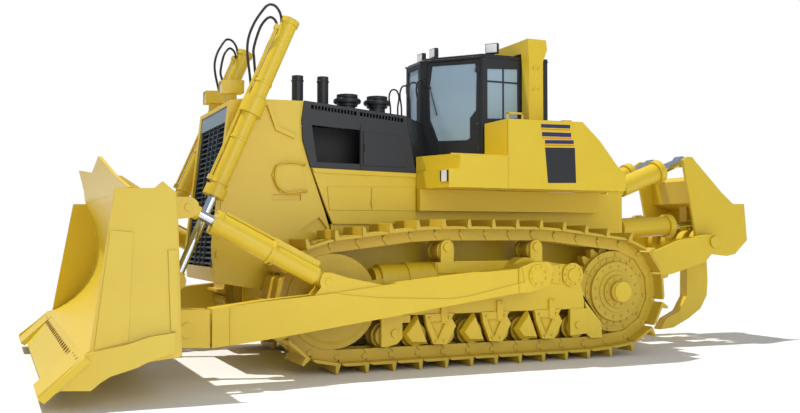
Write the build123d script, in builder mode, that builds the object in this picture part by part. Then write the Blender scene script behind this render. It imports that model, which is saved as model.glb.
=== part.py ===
"""Large crawler bulldozer with a semi-U blade and a single shank ripper.

Frame: X forward, Y left, Z up, millimetres, origin on the ground under the
middle of the overall length.  The machine is symmetric about Y = 0 apart
from its fittings.  The most skilful feature is the crawler belt: one closed
loop of lines and arcs round sprocket, idler and carrier rollers, from which
the link rails, the shoes and their grouser bars are all laid out.
"""
from build123d import *
import math
import os

os.makedirs("parts", exist_ok=True)

SIDES = (1, -1)
SEAT = 0.3                 # gap of pieces that rest on one another
RUN = 0.05                 # radial running fit of pins
GAP = 12                   # side clearance of moving pieces

# ------------------------------------------------------------ crawler belt
GAUGE_Y = 1385             # middle of a belt
SHOE_W = 710
SHOE_COUNT = 35
GROUND_OFF = 195           # pitch line to grouser tips
SHOE_IN = 62               # pitch line to the shoe's inner face
SHOE_OUT = 100             # pitch line to the shoe's outer face
RAIL_IN = -90              # pitch line to the rail's running face
RAIL_Y0, RAIL_Y1 = 112, 172
SPROCKET = (-2270, 930)
SPROCKET_R = 645           # pitch radius
SPROCKET_TEETH = 11
IDLER = (2290, 905)
IDLER_R = 612
GROUND_REAR, GROUND_FRONT = -1980, 2020
CARRIER_XS = (-936, 491)
CARRIER_R = 105
TOP_TIPS = 1965
TOP_FRONT, TOP_REAR = 800, -1000
TRACK_OUT = GAUGE_Y + SHOE_W / 2
TRACK_IN = GAUGE_Y - SHOE_W / 2


def touch(px, pz, cx, cz, radius, turn):
    """Tangent point on a circle for a line from (px, pz)."""
    reach = math.hypot(cx - px, cz - pz)
    ahead = math.atan2(cz - pz, cx - px)
    half = math.asin(radius / reach)
    run = math.sqrt(reach * reach - radius * radius)
    angle = ahead + turn * half
    return (px + run * math.cos(angle), pz + run * math.sin(angle))


def belt_points(shift):
    """Corners of the loop that runs `shift` outside the pitch line."""
    low = GROUND_OFF - shift
    high = TOP_TIPS - GROUND_OFF + shift
    r_s = SPROCKET_R + shift
    r_i = IDLER_R + shift
    a = (GROUND_REAR, low)
    b = (GROUND_FRONT, low)
    c = touch(*b, *IDLER, r_i, -1)
    e = (TOP_FRONT, high)
    d = touch(*e, *IDLER, r_i, 1)
    f = (TOP_REAR, high)
    g = touch(*f, *SPROCKET, r_s, -1)
    h = touch(*a, *SPROCKET, r_s, 1)
    return a, b, c, (IDLER[0] + r_i, IDLER[1]), d, e, f, g, (SPROCKET[0] - r_s, SPROCKET[1]), h


def belt_wire(shift):
    a, b, c, i_mid, d, e, f, g, s_mid, h = belt_points(shift)
    edges = [
        Line(a, b, mode=Mode.PRIVATE), Line(b, c, mode=Mode.PRIVATE),
        ThreePointArc(c, i_mid, d, mode=Mode.PRIVATE),
        Line(d, e, mode=Mode.PRIVATE), Line(e, f, mode=Mode.PRIVATE),
        Line(f, g, mode=Mode.PRIVATE),
        ThreePointArc(g, s_mid, h, mode=Mode.PRIVATE),
        Line(h, a, mode=Mode.PRIVATE),
    ]
    return Wire([edge.edge() for edge in edges])


def shoe_places():
    """Place and heading of every shoe on the pitch line."""
    loop = belt_wire(0)
    places = []
    for index in range(SHOE_COUNT):
        spot = (index + 0.35) / SHOE_COUNT
        at = loop.position_at(spot)
        way = loop.tangent_at(spot)
        places.append((at.X, at.Y, math.degrees(math.atan2(way.Y, way.X))))
    return places


SHOES = shoe_places()
PITCH = belt_wire(0).length / SHOE_COUNT
SHOE_L = PITCH - 8
GROUSER_T = 34


def track(side):
    """One crawler belt: two link rails and the shoes with their grousers."""
    with BuildPart() as belt:
        for lane in (-1, 1):
            y0 = GAUGE_Y + lane * (RAIL_Y0 + RAIL_Y1) / 2 - (RAIL_Y1 - RAIL_Y0) / 2
            with BuildSketch(Plane.XZ.offset(-side * y0)):
                add(make_face(belt_wire(SHOE_IN + 1), mode=Mode.PRIVATE))
                add(make_face(belt_wire(RAIL_IN), mode=Mode.PRIVATE), mode=Mode.SUBTRACT)
            extrude(amount=-side * (RAIL_Y1 - RAIL_Y0))
        with BuildSketch(Plane.XZ.offset(-side * TRACK_IN)):
            for x, z, heading in SHOES:
                with Locations(Location((x, z, 0), (0, 0, heading))):
                    with Locations((0, -(SHOE_IN + SHOE_OUT) / 2)):
                        Rectangle(SHOE_L, SHOE_OUT - SHOE_IN)
                    with Locations((SHOE_L / 2 - GROUSER_T / 2 - 6, -(SHOE_IN + GROUND_OFF) / 2)):
                        Rectangle(GROUSER_T, GROUND_OFF - SHOE_IN)
        extrude(amount=-side * SHOE_W)
    return belt.part



with BuildPart() as track_left:
    add(track(1))
track_left.part.label = "track_left"
export_step(track_left.part, "parts/track_left.step")

with BuildPart() as track_right:
    add(track(-1))
track_right.part.label = "track_right"
export_step(track_right.part, "parts/track_right.step")


# ------------------------------------------------------------ small helpers
def flat(points):
    """Adds a flat face from its corners to the sketch."""
    Polygon(*points, align=None)


def side_plane(side, y):
    """XZ plane at |Y| = y; extrude by -side * width to go outward."""
    return Plane.XZ.offset(-side * y)


# ------------------------------------------------------------ running gear
RAIL_TOP = GROUND_OFF - RAIL_IN
ROLLER_R = 125
ROLLER_XS = [-1500 + 415 * i for i in range(8)]
ROLLER_Z = RAIL_TOP + SEAT + ROLLER_R
DRUM_HALF = 190            # half width of rims and treads
FLANGE_HALF = 98           # guide flange between the rails

with BuildPart() as sprockets:
    for side in SIDES:
        with BuildSketch(side_plane(side, GAUGE_Y - FLANGE_HALF)):
            with Locations(SPROCKET):
                Circle(SPROCKET_R + RAIL_IN - SEAT)
            for tooth in range(SPROCKET_TEETH):
                turn = 360 * (tooth + 0.5) / SPROCKET_TEETH
                with Locations(Location((SPROCKET[0], SPROCKET[1], 0), (0, 0, turn))):
                    with Locations((SPROCKET_R - 40, 0)):
                        Trapezoid(190, 170, 65, rotation=-90)
            with Locations(SPROCKET):
                Circle(390, mode=Mode.SUBTRACT)
        extrude(amount=-side * 2 * FLANGE_HALF)
        with BuildSketch(side_plane(side, GAUGE_Y - DRUM_HALF)):
            with Locations(SPROCKET):
                Circle(SPROCKET_R + RAIL_IN - SEAT)
                Circle(455, mode=Mode.SUBTRACT)
        extrude(amount=-side * 2 * DRUM_HALF)
sprockets.part.label = "sprockets"
export_step(sprockets.part, "parts/sprockets.step")

# final drive: radius, inner Y, outer Y
FINAL_STEPS = ((560, 900, 1190), (390, 1190, 1500), (330, 1500, 1600), (145, 1600, 1715))
with BuildPart() as final_drives:
    for side in SIDES:
        for radius, y0, y1 in FINAL_STEPS:
            with BuildSketch(side_plane(side, y0)):
                with Locations(SPROCKET):
                    Circle(radius)
            extrude(amount=-side * (y1 - y0))
final_drives.part.label = "final_drives"
export_step(final_drives.part, "parts/final_drives.step")

with BuildPart() as idlers:
    for side in SIDES:
        for radius, hole, half in ((IDLER_R + RAIL_IN - SEAT, 430, DRUM_HALF), (560, 0, FLANGE_HALF),
                                   (450, 0, 120), (170, 0, 199.7)):
            with BuildSketch(side_plane(side, GAUGE_Y - half)):
                with Locations(IDLER):
                    Circle(radius)
                    if hole:
                        Circle(hole, mode=Mode.SUBTRACT)
            extrude(amount=-side * 2 * half)
idlers.part.label = "idlers"
export_step(idlers.part, "parts/idlers.step")

with BuildPart() as track_rollers:
    for side in SIDES:
        for x in ROLLER_XS:
            for radius, half in ((ROLLER_R, DRUM_HALF), (ROLLER_R + 26, FLANGE_HALF), (60, 199.7)):
                with BuildSketch(side_plane(side, GAUGE_Y - half)):
                    with Locations((x, ROLLER_Z)):
                        Circle(radius)
                extrude(amount=-side * 2 * half)
track_rollers.part.label = "track_rollers"
export_step(track_rollers.part, "parts/track_rollers.step")

CARRIER_Z = TOP_TIPS - RAIL_TOP - SEAT - CARRIER_R
with BuildPart() as carrier_rollers:
    for side in SIDES:
        for x in CARRIER_XS:
            with BuildSketch(side_plane(side, GAUGE_Y - DRUM_HALF)):
                with Locations((x, CARRIER_Z)):
                    Circle(CARRIER_R)
            extrude(amount=-side * 2 * DRUM_HALF)
carrier_rollers.part.label = "carrier_rollers"
export_step(carrier_rollers.part, "parts/carrier_rollers.step")

# ------------------------------------------------------------ track frames
FRAME_Y0, FRAME_Y1 = 1155, 1610
FRAME_LOW, FRAME_TOP = 640, 1330
TUBE_R = 250
TRUNNION = (-550, 1205)
TRUNNION_R = 130
ARM_Y0, ARM_Y1 = 1830, 2130
# frame side: x, z
FRAME_SIDE = ((-1555, 800), (-1480, 640), (1480, 640), (1640, 760), (1640, 1180), (1480, 1330),
              (-1100, 1330), (-1555, 1240))
# roller guards: middle x, half foot, half head
GUARDS = ((718, 165), (189, 135), (-230, 185), (-950, 185))
GUARD_Z = (292, 700)


def track_frame(side):
    """Track frame with recoil tube, idler fork, guards and trunnion."""
    with BuildPart() as frame:
        with BuildSketch(side_plane(side, FRAME_Y0)):
            flat(FRAME_SIDE)
        extrude(amount=-side * (FRAME_Y1 - FRAME_Y0))
        # recoil tube
        with BuildSketch(Plane.YZ.offset(1500)):
            with Locations((side * GAUGE_Y, IDLER[1] + 60)):
                Circle(TUBE_R - 40)
        extrude(amount=200)
        # idler fork
        for y0, y1 in ((FRAME_Y0, FRAME_Y0 + 30), (FRAME_Y1 - 25, FRAME_Y1)):
            with BuildSketch(side_plane(side, y0)):
                flat(((1500, 700), (2440, 790), (2440, 1020), (1500, 1200)))
            extrude(amount=-side * (y1 - y0))
        # roller guards
        for y0, y1 in ((FRAME_Y0, FRAME_Y0 + 30), (FRAME_Y1 - 25, FRAME_Y1)):
            with BuildSketch(side_plane(side, y0)):
                flat(((-1680, 330), (1650, 330), (1500, 700), (-1540, 700)))
            extrude(amount=-side * (y1 - y0))
        # carrier roller posts
        for x in CARRIER_XS:
            with BuildSketch(side_plane(side, GAUGE_Y + DRUM_HALF)):
                flat(((x - 115, FRAME_TOP - 60), (x + 115, FRAME_TOP - 60), (x + 60, CARRIER_Z + 60),
                      (x - 60, CARRIER_Z + 60)))
            extrude(amount=-side * 35)
        # trunnion
        with BuildSketch(side_plane(side, FRAME_Y1)):
            with Locations(TRUNNION):
                Circle(TRUNNION_R + 110)
        extrude(amount=-side * (ARM_Y0 - GAP - FRAME_Y1))
        with BuildSketch(side_plane(side, ARM_Y0 - GAP)):
            with Locations(TRUNNION):
                Circle(TRUNNION_R)
        extrude(amount=-side * (ARM_Y1 + GAP - ARM_Y0 + GAP))
        with BuildSketch(side_plane(side, ARM_Y1 + GAP)):
            with Locations(TRUNNION):
                Circle(TRUNNION_R + 45)
        extrude(amount=-side * 30)
    return frame.part


with BuildPart() as track_frame_left:
    add(track_frame(1))
track_frame_left.part.label = "track_frame_left"
export_step(track_frame_left.part, "parts/track_frame_left.step")

with BuildPart() as track_frame_right:
    add(track_frame(-1))
track_frame_right.part.label = "track_frame_right"
export_step(track_frame_right.part, "parts/track_frame_right.step")

# ------------------------------------------------------------ main frame
HULL_Y = 900
DECK_Z = 2390              # underside of fenders and tanks
SIDE_Y = 950               # engine bay side
# boxes: x0, x1, half width, z0, z1
HULL = ((-2800, 1950, HULL_Y, 700, 1900), (1950, 2700, HULL_Y, 700, 1150 - SEAT),
        (-2320, 700, 1080, 2090, DECK_Z), (-2800, 800, HULL_Y, 1900, DECK_Z))
# crossbars to the track frames: x, z, radius
CROSSBARS = ((1180, 1010, 130), (-1250, 1010, 150))
with BuildPart() as main_frame:
    for x0, x1, half, z0, z1 in HULL:
        with BuildSketch(Plane.XY.offset(z0)):
            with Locations(((x0 + x1) / 2, 0)):
                Rectangle(x1 - x0, 2 * half)
        extrude(amount=z1 - z0)
    for x, z, radius in CROSSBARS:
        with BuildSketch(Plane.XZ.offset(-FRAME_Y0)):
            with Locations((x, z)):
                Circle(radius)
        extrude(amount=2 * FRAME_Y0)
main_frame.part.label = "main_frame"
export_step(main_frame.part, "parts/main_frame.step")

# ------------------------------------------------------------ nose
NOSE_Y = 855               # half width at the grille
NOSE_SIDE = ((2050, 2086), (1960, 1804), (2000, 1150), (3540, 1150), (3553, 1500), (3377, 3470), (3150, 3530),
             (2340, 3545), (2378, 3282), (2363, 3015), (2264, 2684))
NOSE_WALL = 70
GRILLE_LOW, GRILLE_HIGH = 1330, 3400
LIFT_Y = 1150              # lift cylinder plane
LIFT_PIVOT_R = 80
LIFT_TOP = (2606, 4545)
LIFT_PIN = (4060, 1180)
LIFT_SPAN = math.hypot(LIFT_PIN[0] - LIFT_TOP[0], LIFT_PIN[1] - LIFT_TOP[1])
LIFT_PIVOT_AT = 1256       # pivot's distance from the barrel's top
LIFT_PIVOT = (LIFT_TOP[0] + (LIFT_PIN[0] - LIFT_TOP[0]) * LIFT_PIVOT_AT / LIFT_SPAN,
              LIFT_TOP[1] + (LIFT_PIN[1] - LIFT_TOP[1]) * LIFT_PIVOT_AT / LIFT_SPAN)


def grille_x(z):
    """X of the nose's front face at height z."""
    return 3553 + (z - 1500) * (3377 - 3553) / (3470 - 1500)


with BuildPart() as nose_guard:
    with BuildSketch(Plane.XZ.offset(-NOSE_Y - 60)):
        flat(NOSE_SIDE)
    extrude(amount=2 * (NOSE_Y + 60))
    # radiator tunnel, open in front, and its rear wall
    with BuildSketch(Plane.XZ.offset(-(NOSE_Y - NOSE_WALL))):
        flat(((2600, GRILLE_LOW), (3700, GRILLE_LOW), (3700, GRILLE_HIGH), (1800, GRILLE_HIGH), (1800, 1900),
              (2600, 1900)))
    extrude(amount=2 * (NOSE_Y - NOSE_WALL), mode=Mode.SUBTRACT)
    # pivots of the lift cylinders
    for side in SIDES:
        with BuildSketch(side_plane(side, NOSE_Y + 60)):
            with Locations(LIFT_PIVOT):
                Circle(120)
        extrude(amount=-side * 60)
        with BuildSketch(side_plane(side, NOSE_Y + 10)):
            with Locations(LIFT_PIVOT):
                Circle(LIFT_PIVOT_R + RUN)
        extrude(amount=-side * 120, mode=Mode.SUBTRACT)
nose_guard.part.label = "nose_guard"
export_step(nose_guard.part, "parts/nose_guard.step")

LOUVRES = 22
with BuildPart() as radiator_grille:
    for i in range(LOUVRES):
        z = GRILLE_LOW + 60 + i * (GRILLE_HIGH - GRILLE_LOW - 120) / (LOUVRES - 1)
        x = grille_x(z) - 40
        with BuildSketch(Plane.XZ.offset(-(NOSE_Y - NOSE_WALL - 20))):
            flat(((x, z - 8), (x, z + 8), (x - 70, z + 38), (x - 70, z + 22)))
        extrude(amount=2 * (NOSE_Y - NOSE_WALL - 20))
    for y in (-NOSE_Y + NOSE_WALL + 20, 0, NOSE_Y - NOSE_WALL - 20):
        with BuildSketch(Plane.XZ.offset(-(y + 20))):
            flat(((grille_x(GRILLE_LOW) - 30, GRILLE_LOW), (grille_x(GRILLE_HIGH) - 30, GRILLE_HIGH),
                  (grille_x(GRILLE_HIGH) - 110, GRILLE_HIGH), (grille_x(GRILLE_LOW) - 110, GRILLE_LOW)))
        extrude(amount=40)
radiator_grille.part.label = "radiator_grille"
export_step(radiator_grille.part, "parts/radiator_grille.step")

with BuildPart() as radiator_core:
    with BuildSketch(Plane.XY.offset(GRILLE_LOW)):
        with Locations((2750, 0)):
            Rectangle(300, 2 * (NOSE_Y - NOSE_WALL))
    extrude(amount=GRILLE_HIGH - GRILLE_LOW)
radiator_core.part.label = "radiator_core"
export_step(radiator_core.part, "parts/radiator_core.step")

with BuildPart() as nose_lamps:
    for side in SIDES:
        with BuildSketch(side_plane(side, NOSE_Y - 60)):
            flat(((3150, 3530.5), (3350, 3477.7), (3350, 3700), (3150, 3740)))
        extrude(amount=-side * 200)
nose_lamps.part.label = "nose_lamps"
export_step(nose_lamps.part, "parts/nose_lamps.step")

# ------------------------------------------------------------ engine bay
HOOD_Y = SIDE_Y
HOOD_T = 25
HOOD_SIDE = ((2339, 3545), (2377, 3282), (2362, 3015), (2250, 2655.5), (702, 2620.5), (860, 3420))
HOOD_INNER = ((2500, 3520), (2500, 2600), (600, 2600), (600, 3395), (860, 3395), (2340, 3520))
BAY_HOLE = ((2238, 3222), (1547, 3188), (1547, 2721), (2166, 2728))
with BuildPart() as engine_hood:
    with BuildSketch(Plane.XZ.offset(-HOOD_Y)):
        flat(HOOD_SIDE)
    extrude(amount=2 * HOOD_Y)
    with BuildSketch(Plane.XZ.offset(-(HOOD_Y - HOOD_T))):
        flat(HOOD_INNER)
    extrude(amount=2 * (HOOD_Y - HOOD_T), mode=Mode.SUBTRACT)
    with BuildSketch(Plane.XZ.offset(-HOOD_Y - 10)):
        flat(BAY_HOLE)
    extrude(amount=2 * HOOD_Y + 20, mode=Mode.SUBTRACT)
engine_hood.part.label = "engine_hood"
export_step(engine_hood.part, "parts/engine_hood.step")

# lower engine side panels and engine bearers: x0, x1, half width, z0, z1
with BuildPart() as lower_panels:
    for side in SIDES:
        with BuildSketch(side_plane(side, HULL_Y + SEAT)):
            flat(((820, 1900), (1940, 1900), (2020, 2080), (2240, 2650), (820, 2620)))
        extrude(amount=-side * (SIDE_Y - HULL_Y - SEAT))
lower_panels.part.label = "lower_panels"
export_step(lower_panels.part, "parts/lower_panels.step")

with BuildPart() as engine_block:
    with BuildSketch(Plane.XY.offset(1900)):
        with Locations((1545, 0)):
            Rectangle(1440, 1000)
    extrude(amount=1350)
engine_block.part.label = "engine_block"
export_step(engine_block.part, "parts/engine_block.step")


def hood_z(x):
    return 3420 + (x - 860) * (3545 - 3420) / (2340 - 860)


STACK_Y = 300
STACKS = ((2235, 80, 3985), (1860, 80, 3995))
HOOD_CUT = ((2700, hood_z(2700) + SEAT), (500, hood_z(500) + SEAT), (500, 3000), (2700, 3000))
with BuildPart() as exhaust_stacks:
    for x, radius, top in STACKS:
        with BuildSketch(Plane.XY.offset(hood_z(x) - 12)):
            with Locations((x, STACK_Y)):
                Circle(radius)
        extrude(amount=top - hood_z(x) + 12)
        with BuildSketch(Plane.XY.offset(top - 200)):
            with Locations((x, STACK_Y)):
                Circle(radius - 12)
        extrude(amount=201, mode=Mode.SUBTRACT)
    with BuildSketch(Plane.XZ.offset(-1000)):
        flat(HOOD_CUT)
    extrude(amount=2000, mode=Mode.SUBTRACT)
exhaust_stacks.part.label = "exhaust_stacks"
export_step(exhaust_stacks.part, "parts/exhaust_stacks.step")

CLEANERS = ((1490, 185), (1025, 185))
with BuildPart() as air_cleaners:
    for x, radius in CLEANERS:
        for r, z0, z1 in ((115, hood_z(x) - 20, 3600), (150, 3600, 3650), (radius, 3650, 3700), (140, 3700, 3760)):
            with BuildSketch(Plane.XY.offset(z0)):
                with Locations((x, STACK_Y)):
                    Circle(r)
            extrude(amount=z1 - z0)
    with BuildSketch(Plane.XZ.offset(-1000)):
        flat(HOOD_CUT)
    extrude(amount=2000, mode=Mode.SUBTRACT)
air_cleaners.part.label = "air_cleaners"
export_step(air_cleaners.part, "parts/air_cleaners.step")

# ------------------------------------------------------------ fenders and tanks
TANK_Y0, TANK_Y1 = 1090, 1740
CAB_Y = 1010
POST_X0, POST_X1 = -1330, -980
POST_Y0, POST_Y1 = 1045, 1245
FENDER_SIDE = ((702, DECK_Z + SEAT), (702, 2642), (500, 2842), (-322, 2848), (-322, 3351), (-1554, 3366), (-1855, 3107),
               (-2170, 2741), (-2311, 2629), (-2302, DECK_Z + SEAT))


def fender(side):
    """Front fender and the tank behind it as one shell-like body."""
    with BuildPart() as body:
        with BuildSketch(side_plane(side, TANK_Y0)):
            flat(FENDER_SIDE)
        extrude(amount=-side * (TANK_Y1 - TANK_Y0))
        # inboard ledge beside the cab
        with BuildSketch(side_plane(side, CAB_Y + SEAT)):
            flat(((702, DECK_Z + SEAT), (702, 2642), (500, 2842), (-322, 2848), (-322, DECK_Z + SEAT)))
        extrude(amount=-side * (TANK_Y0 - CAB_Y - SEAT))
        # slanting front end
        with BuildSketch(Plane.XY.offset(DECK_Z - 10)):
            flat(((702, side * SIDE_Y), (760, side * (TANK_Y1 + 30)), (582, side * (TANK_Y1 + 30))))
        extrude(amount=700, mode=Mode.SUBTRACT)
        # place for the roll-over post
        with BuildSketch(Plane.XY.offset(DECK_Z + 20)):
            with Locations(((POST_X0 + POST_X1) / 2, side * (TANK_Y0 + POST_Y1) / 2)):
                Rectangle(POST_X1 - POST_X0 + 20, POST_Y1 - TANK_Y0 + 20)
        extrude(amount=1200, mode=Mode.SUBTRACT)
    return body.part


with BuildPart() as tank_left:
    add(fender(1))
tank_left.part.label = "tank_left"
export_step(tank_left.part, "parts/tank_left.step")

with BuildPart() as tank_right:
    add(fender(-1))
tank_right.part.label = "tank_right"
export_step(tank_right.part, "parts/tank_right.step")

# ------------------------------------------------------------ cab
CAB_WALL = 50
CAB_FLOOR = 2660
CAB_SIDE = ((700, DECK_Z + SEAT), (700, 3450), (545, 4245), (-340, 4370), (-1446, 4400), (-1446, DECK_Z + SEAT))
DOOR_SIDE = ((640, 2870), (655, 3420), (500, 4200), (-300, 4200), (-300, 2870))
DOOR_GLASS = ((560, 3000), (575, 3400), (450, 4110), (-225, 4110), (-225, 3000))
REAR_GLASS = ((-416, 3440), (-1010, 3480), (-1010, 4200), (-416, 4150))
HINGE_X, HINGE_Y = -265, 1030
HINGE_R, HINGE_PIN_R = 18, 10
HINGE_ZS = (3000, 4000)
with BuildPart() as cab_shell:
    with BuildSketch(Plane.XZ.offset(-CAB_Y)):
        flat(CAB_SIDE)
    extrude(amount=2 * CAB_Y)
    with BuildSketch(Plane.XZ.offset(-(CAB_Y - CAB_WALL))):
        flat(((650, 2700), (650, 3445), (505, 4195), (-340, 4315), (-1396, 4345), (-1396, 2700)))
    extrude(amount=2 * (CAB_Y - CAB_WALL), mode=Mode.SUBTRACT)
    # door openings and rear side windows
    with BuildSketch(Plane.XZ.offset(-CAB_Y - 5)):
        flat(DOOR_SIDE)
        flat(REAR_GLASS)
    extrude(amount=2 * CAB_Y + 10, mode=Mode.SUBTRACT)
    # windscreen
    with BuildSketch(Plane.YZ.offset(400)):
        with Locations((0, 3790)):
            Rectangle(1700, 700)
    extrude(amount=400, mode=Mode.SUBTRACT)
    # rear window
    with BuildSketch(Plane.YZ.offset(-1500)):
        with Locations((0, 3850)):
            Rectangle(1600, 600)
    extrude(amount=200, mode=Mode.SUBTRACT)
    # hinge brackets and pins of the doors
    for side in SIDES:
        for z in HINGE_ZS:
            for z0, z1, radius in ((z, z + 25, HINGE_R), (z + 95, z + 120, HINGE_R), (z, z + 120, HINGE_PIN_R)):
                with BuildSketch(Plane.XY.offset(z0)):
                    with Locations((HINGE_X, side * HINGE_Y)):
                        Circle(radius)
                    if radius == HINGE_R:
                        with Locations((HINGE_X - 30, side * (CAB_Y + 9))):
                            Rectangle(60, 20)
                extrude(amount=z1 - z0)
cab_shell.part.label = "cab_shell"
export_step(cab_shell.part, "parts/cab_shell.step")

DOOR_PLAY = 6


def door(side):
    with BuildPart() as panel:
        with BuildSketch(side_plane(side, CAB_Y - CAB_WALL + 5)):
            flat(DOOR_SIDE)
            offset(amount=-DOOR_PLAY, kind=Kind.INTERSECTION, mode=Mode.REPLACE)
            Polygon(*DOOR_GLASS, align=None, mode=Mode.SUBTRACT)
        extrude(amount=-side * (CAB_WALL - 10))
        # hinge knuckles
        for z in HINGE_ZS:
            with BuildSketch(Plane.XY.offset(z + 30)):
                with Locations((HINGE_X, side * HINGE_Y)):
                    Circle(HINGE_R)
                with Locations((HINGE_X + 20, side * (CAB_Y + 6))):
                    Rectangle(40, 24)
                with Locations((HINGE_X, side * HINGE_Y)):
                    Circle(HINGE_PIN_R + RUN, mode=Mode.SUBTRACT)
            extrude(amount=60)
    return panel.part


with BuildPart() as cab_door_left:
    add(door(1))
cab_door_left.part.label = "cab_door_left"
export_step(cab_door_left.part, "parts/cab_door_left.step")

with BuildPart() as cab_door_right:
    add(door(-1))
cab_door_right.part.label = "cab_door_right"
export_step(cab_door_right.part, "parts/cab_door_right.step")

for side, name in ((1, "door_glass_left"), (-1, "door_glass_right")):
    with BuildPart() as door_glass:
        with BuildSketch(side_plane(side, CAB_Y - CAB_WALL + 20)):
            flat(DOOR_GLASS)
        extrude(amount=-side * 12)
    door_glass.part.label = name
    export_step(door_glass.part, "parts/" + name + ".step")

with BuildPart() as cab_seat:
    for x0, x1, half, z0, z1 in ((-600, -150, 120, 2700, 2950), (-700, -100, 280, 2950, 3080),
                                 (-760, -640, 270, 3080, 3750)):
        with BuildSketch(Plane.XY.offset(z0)):
            with Locations(((x0 + x1) / 2, 0)):
                Rectangle(x1 - x0, 2 * half)
        extrude(amount=z1 - z0)
cab_seat.part.label = "cab_seat"
export_step(cab_seat.part, "parts/cab_seat.step")

# roll-over frame: two posts and a crossbeam
ROPS_TOP = 4646
with BuildPart() as rops_frame:
    for side in SIDES:
        with BuildSketch(side_plane(side, POST_Y0)):
            flat(((POST_X0, DECK_Z + 20), (POST_X1, DECK_Z + 20), (POST_X1, 4300), (POST_X1 - 60, ROPS_TOP),
                  (POST_X0, ROPS_TOP)))
        extrude(amount=-side * (POST_Y1 - POST_Y0))
    with BuildSketch(Plane.XZ.offset(-POST_Y0)):
        flat(((POST_X0 + 20, 4430), (POST_X1 - 30, 4430), (POST_X1 - 60, ROPS_TOP), (POST_X0 + 20, ROPS_TOP)))
    extrude(amount=2 * POST_Y0)
rops_frame.part.label = "rops_frame"
export_step(rops_frame.part, "parts/rops_frame.step")

# ------------------------------------------------------------ push arms
ARM_PIN = (4100, 665)
ARM_PIN_R = 90
ARM_SIDE = ((-267, 983), (-267, 1307), (775, 1219), (1475, 1150), (2514, 1027), (3844, 897), (4060, 850),
            (4060, 465), (3836, 452), (2776, 572), (1227, 781), (632, 864))
TILT_Y = 1980
TILT_REAR = (2400, 1180)
TILT_FRONT = (4090, 2060)


def push_arm(side):
    with BuildPart() as arm:
        with BuildSketch(side_plane(side, ARM_Y0)):
            flat(ARM_SIDE)
            with Locations(TRUNNION, ):
                Circle(215)
            with Locations(ARM_PIN):
                Circle(200)
            flat(((-600, 1000), (-600, 1400), (-200, 1305), (-200, 985)))
            with Locations(TRUNNION):
                Circle(TRUNNION_R + RUN, mode=Mode.SUBTRACT)
            with Locations(ARM_PIN):
                Circle(ARM_PIN_R + RUN, mode=Mode.SUBTRACT)
        extrude(amount=-side * (ARM_Y1 - ARM_Y0))
        # slim the eye between the blade's lugs
        for y0, y1 in ((ARM_Y0 - 1, ARM_Y0 + 60), (ARM_Y1 - 60, ARM_Y1 + 1)):
            with BuildSketch(side_plane(side, y0)):
                with Locations(ARM_PIN):
                    Circle(235)
            extrude(amount=-side * (y1 - y0), mode=Mode.SUBTRACT)
        # cheeks of the tilt cylinder's foot
        for y0 in (TILT_Y - 120, TILT_Y + 90):
            with BuildSketch(side_plane(side, y0)):
                flat(((1750, 1090), (2300, 1270), (2500, 1270), (2620, 1000), (1900, 1060)))
            extrude(amount=-side * 30)
    return arm.part


with BuildPart() as push_arm_left:
    add(push_arm(1))
push_arm_left.part.label = "push_arm_left"
export_step(push_arm_left.part, "parts/push_arm_left.step")

with BuildPart() as push_arm_right:
    add(push_arm(-1))
push_arm_right.part.label = "push_arm_right"
export_step(push_arm_right.part, "parts/push_arm_right.step")

# ------------------------------------------------------------ blade
BLADE_TOP_Y, BLADE_LOW_Y = 2615, 2943
BLADE_TIP = (5717, 160)
BIT_Y = 2100
# moldboard section at middle: front face, back
MOLD_FRONT = ((5289.8, 545.2), (4620, 1300), (4800, 2240))
MOLD_BACK_X = 4310
# end plate side: x, z
PLATE_SIDE = ((5240, 536), (4966, 2238), (4560, 2245), (4470, 2320), (4330, 2200), (4330, 480), (4700, 440),
              (5100, 380), (5240, 490))
EDGE_SIDE = ((5630, 160), (5290, 545), (5245, 505), (5585, 120))
BIT_SIDE = ((5717, 160), (5275, 560), (5230, 440), (5100, 330), (5230, 225), (5500, 250), (5690, 120))


def mold_section():
    front = ThreePointArc(*MOLD_FRONT, mode=Mode.PRIVATE)
    corners = (MOLD_FRONT[2], (MOLD_FRONT[2][0] - 120, MOLD_FRONT[2][1]), (MOLD_BACK_X + 90, 2150),
               (MOLD_BACK_X, 1900), (MOLD_BACK_X, 480), (4700, 440), (5244.8, 505.2), MOLD_FRONT[0])
    return Face(Wire([front.edge()] + [Line(p, q, mode=Mode.PRIVATE).edge()
                                       for p, q in zip(corners[:-1], corners[1:])]))


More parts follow.
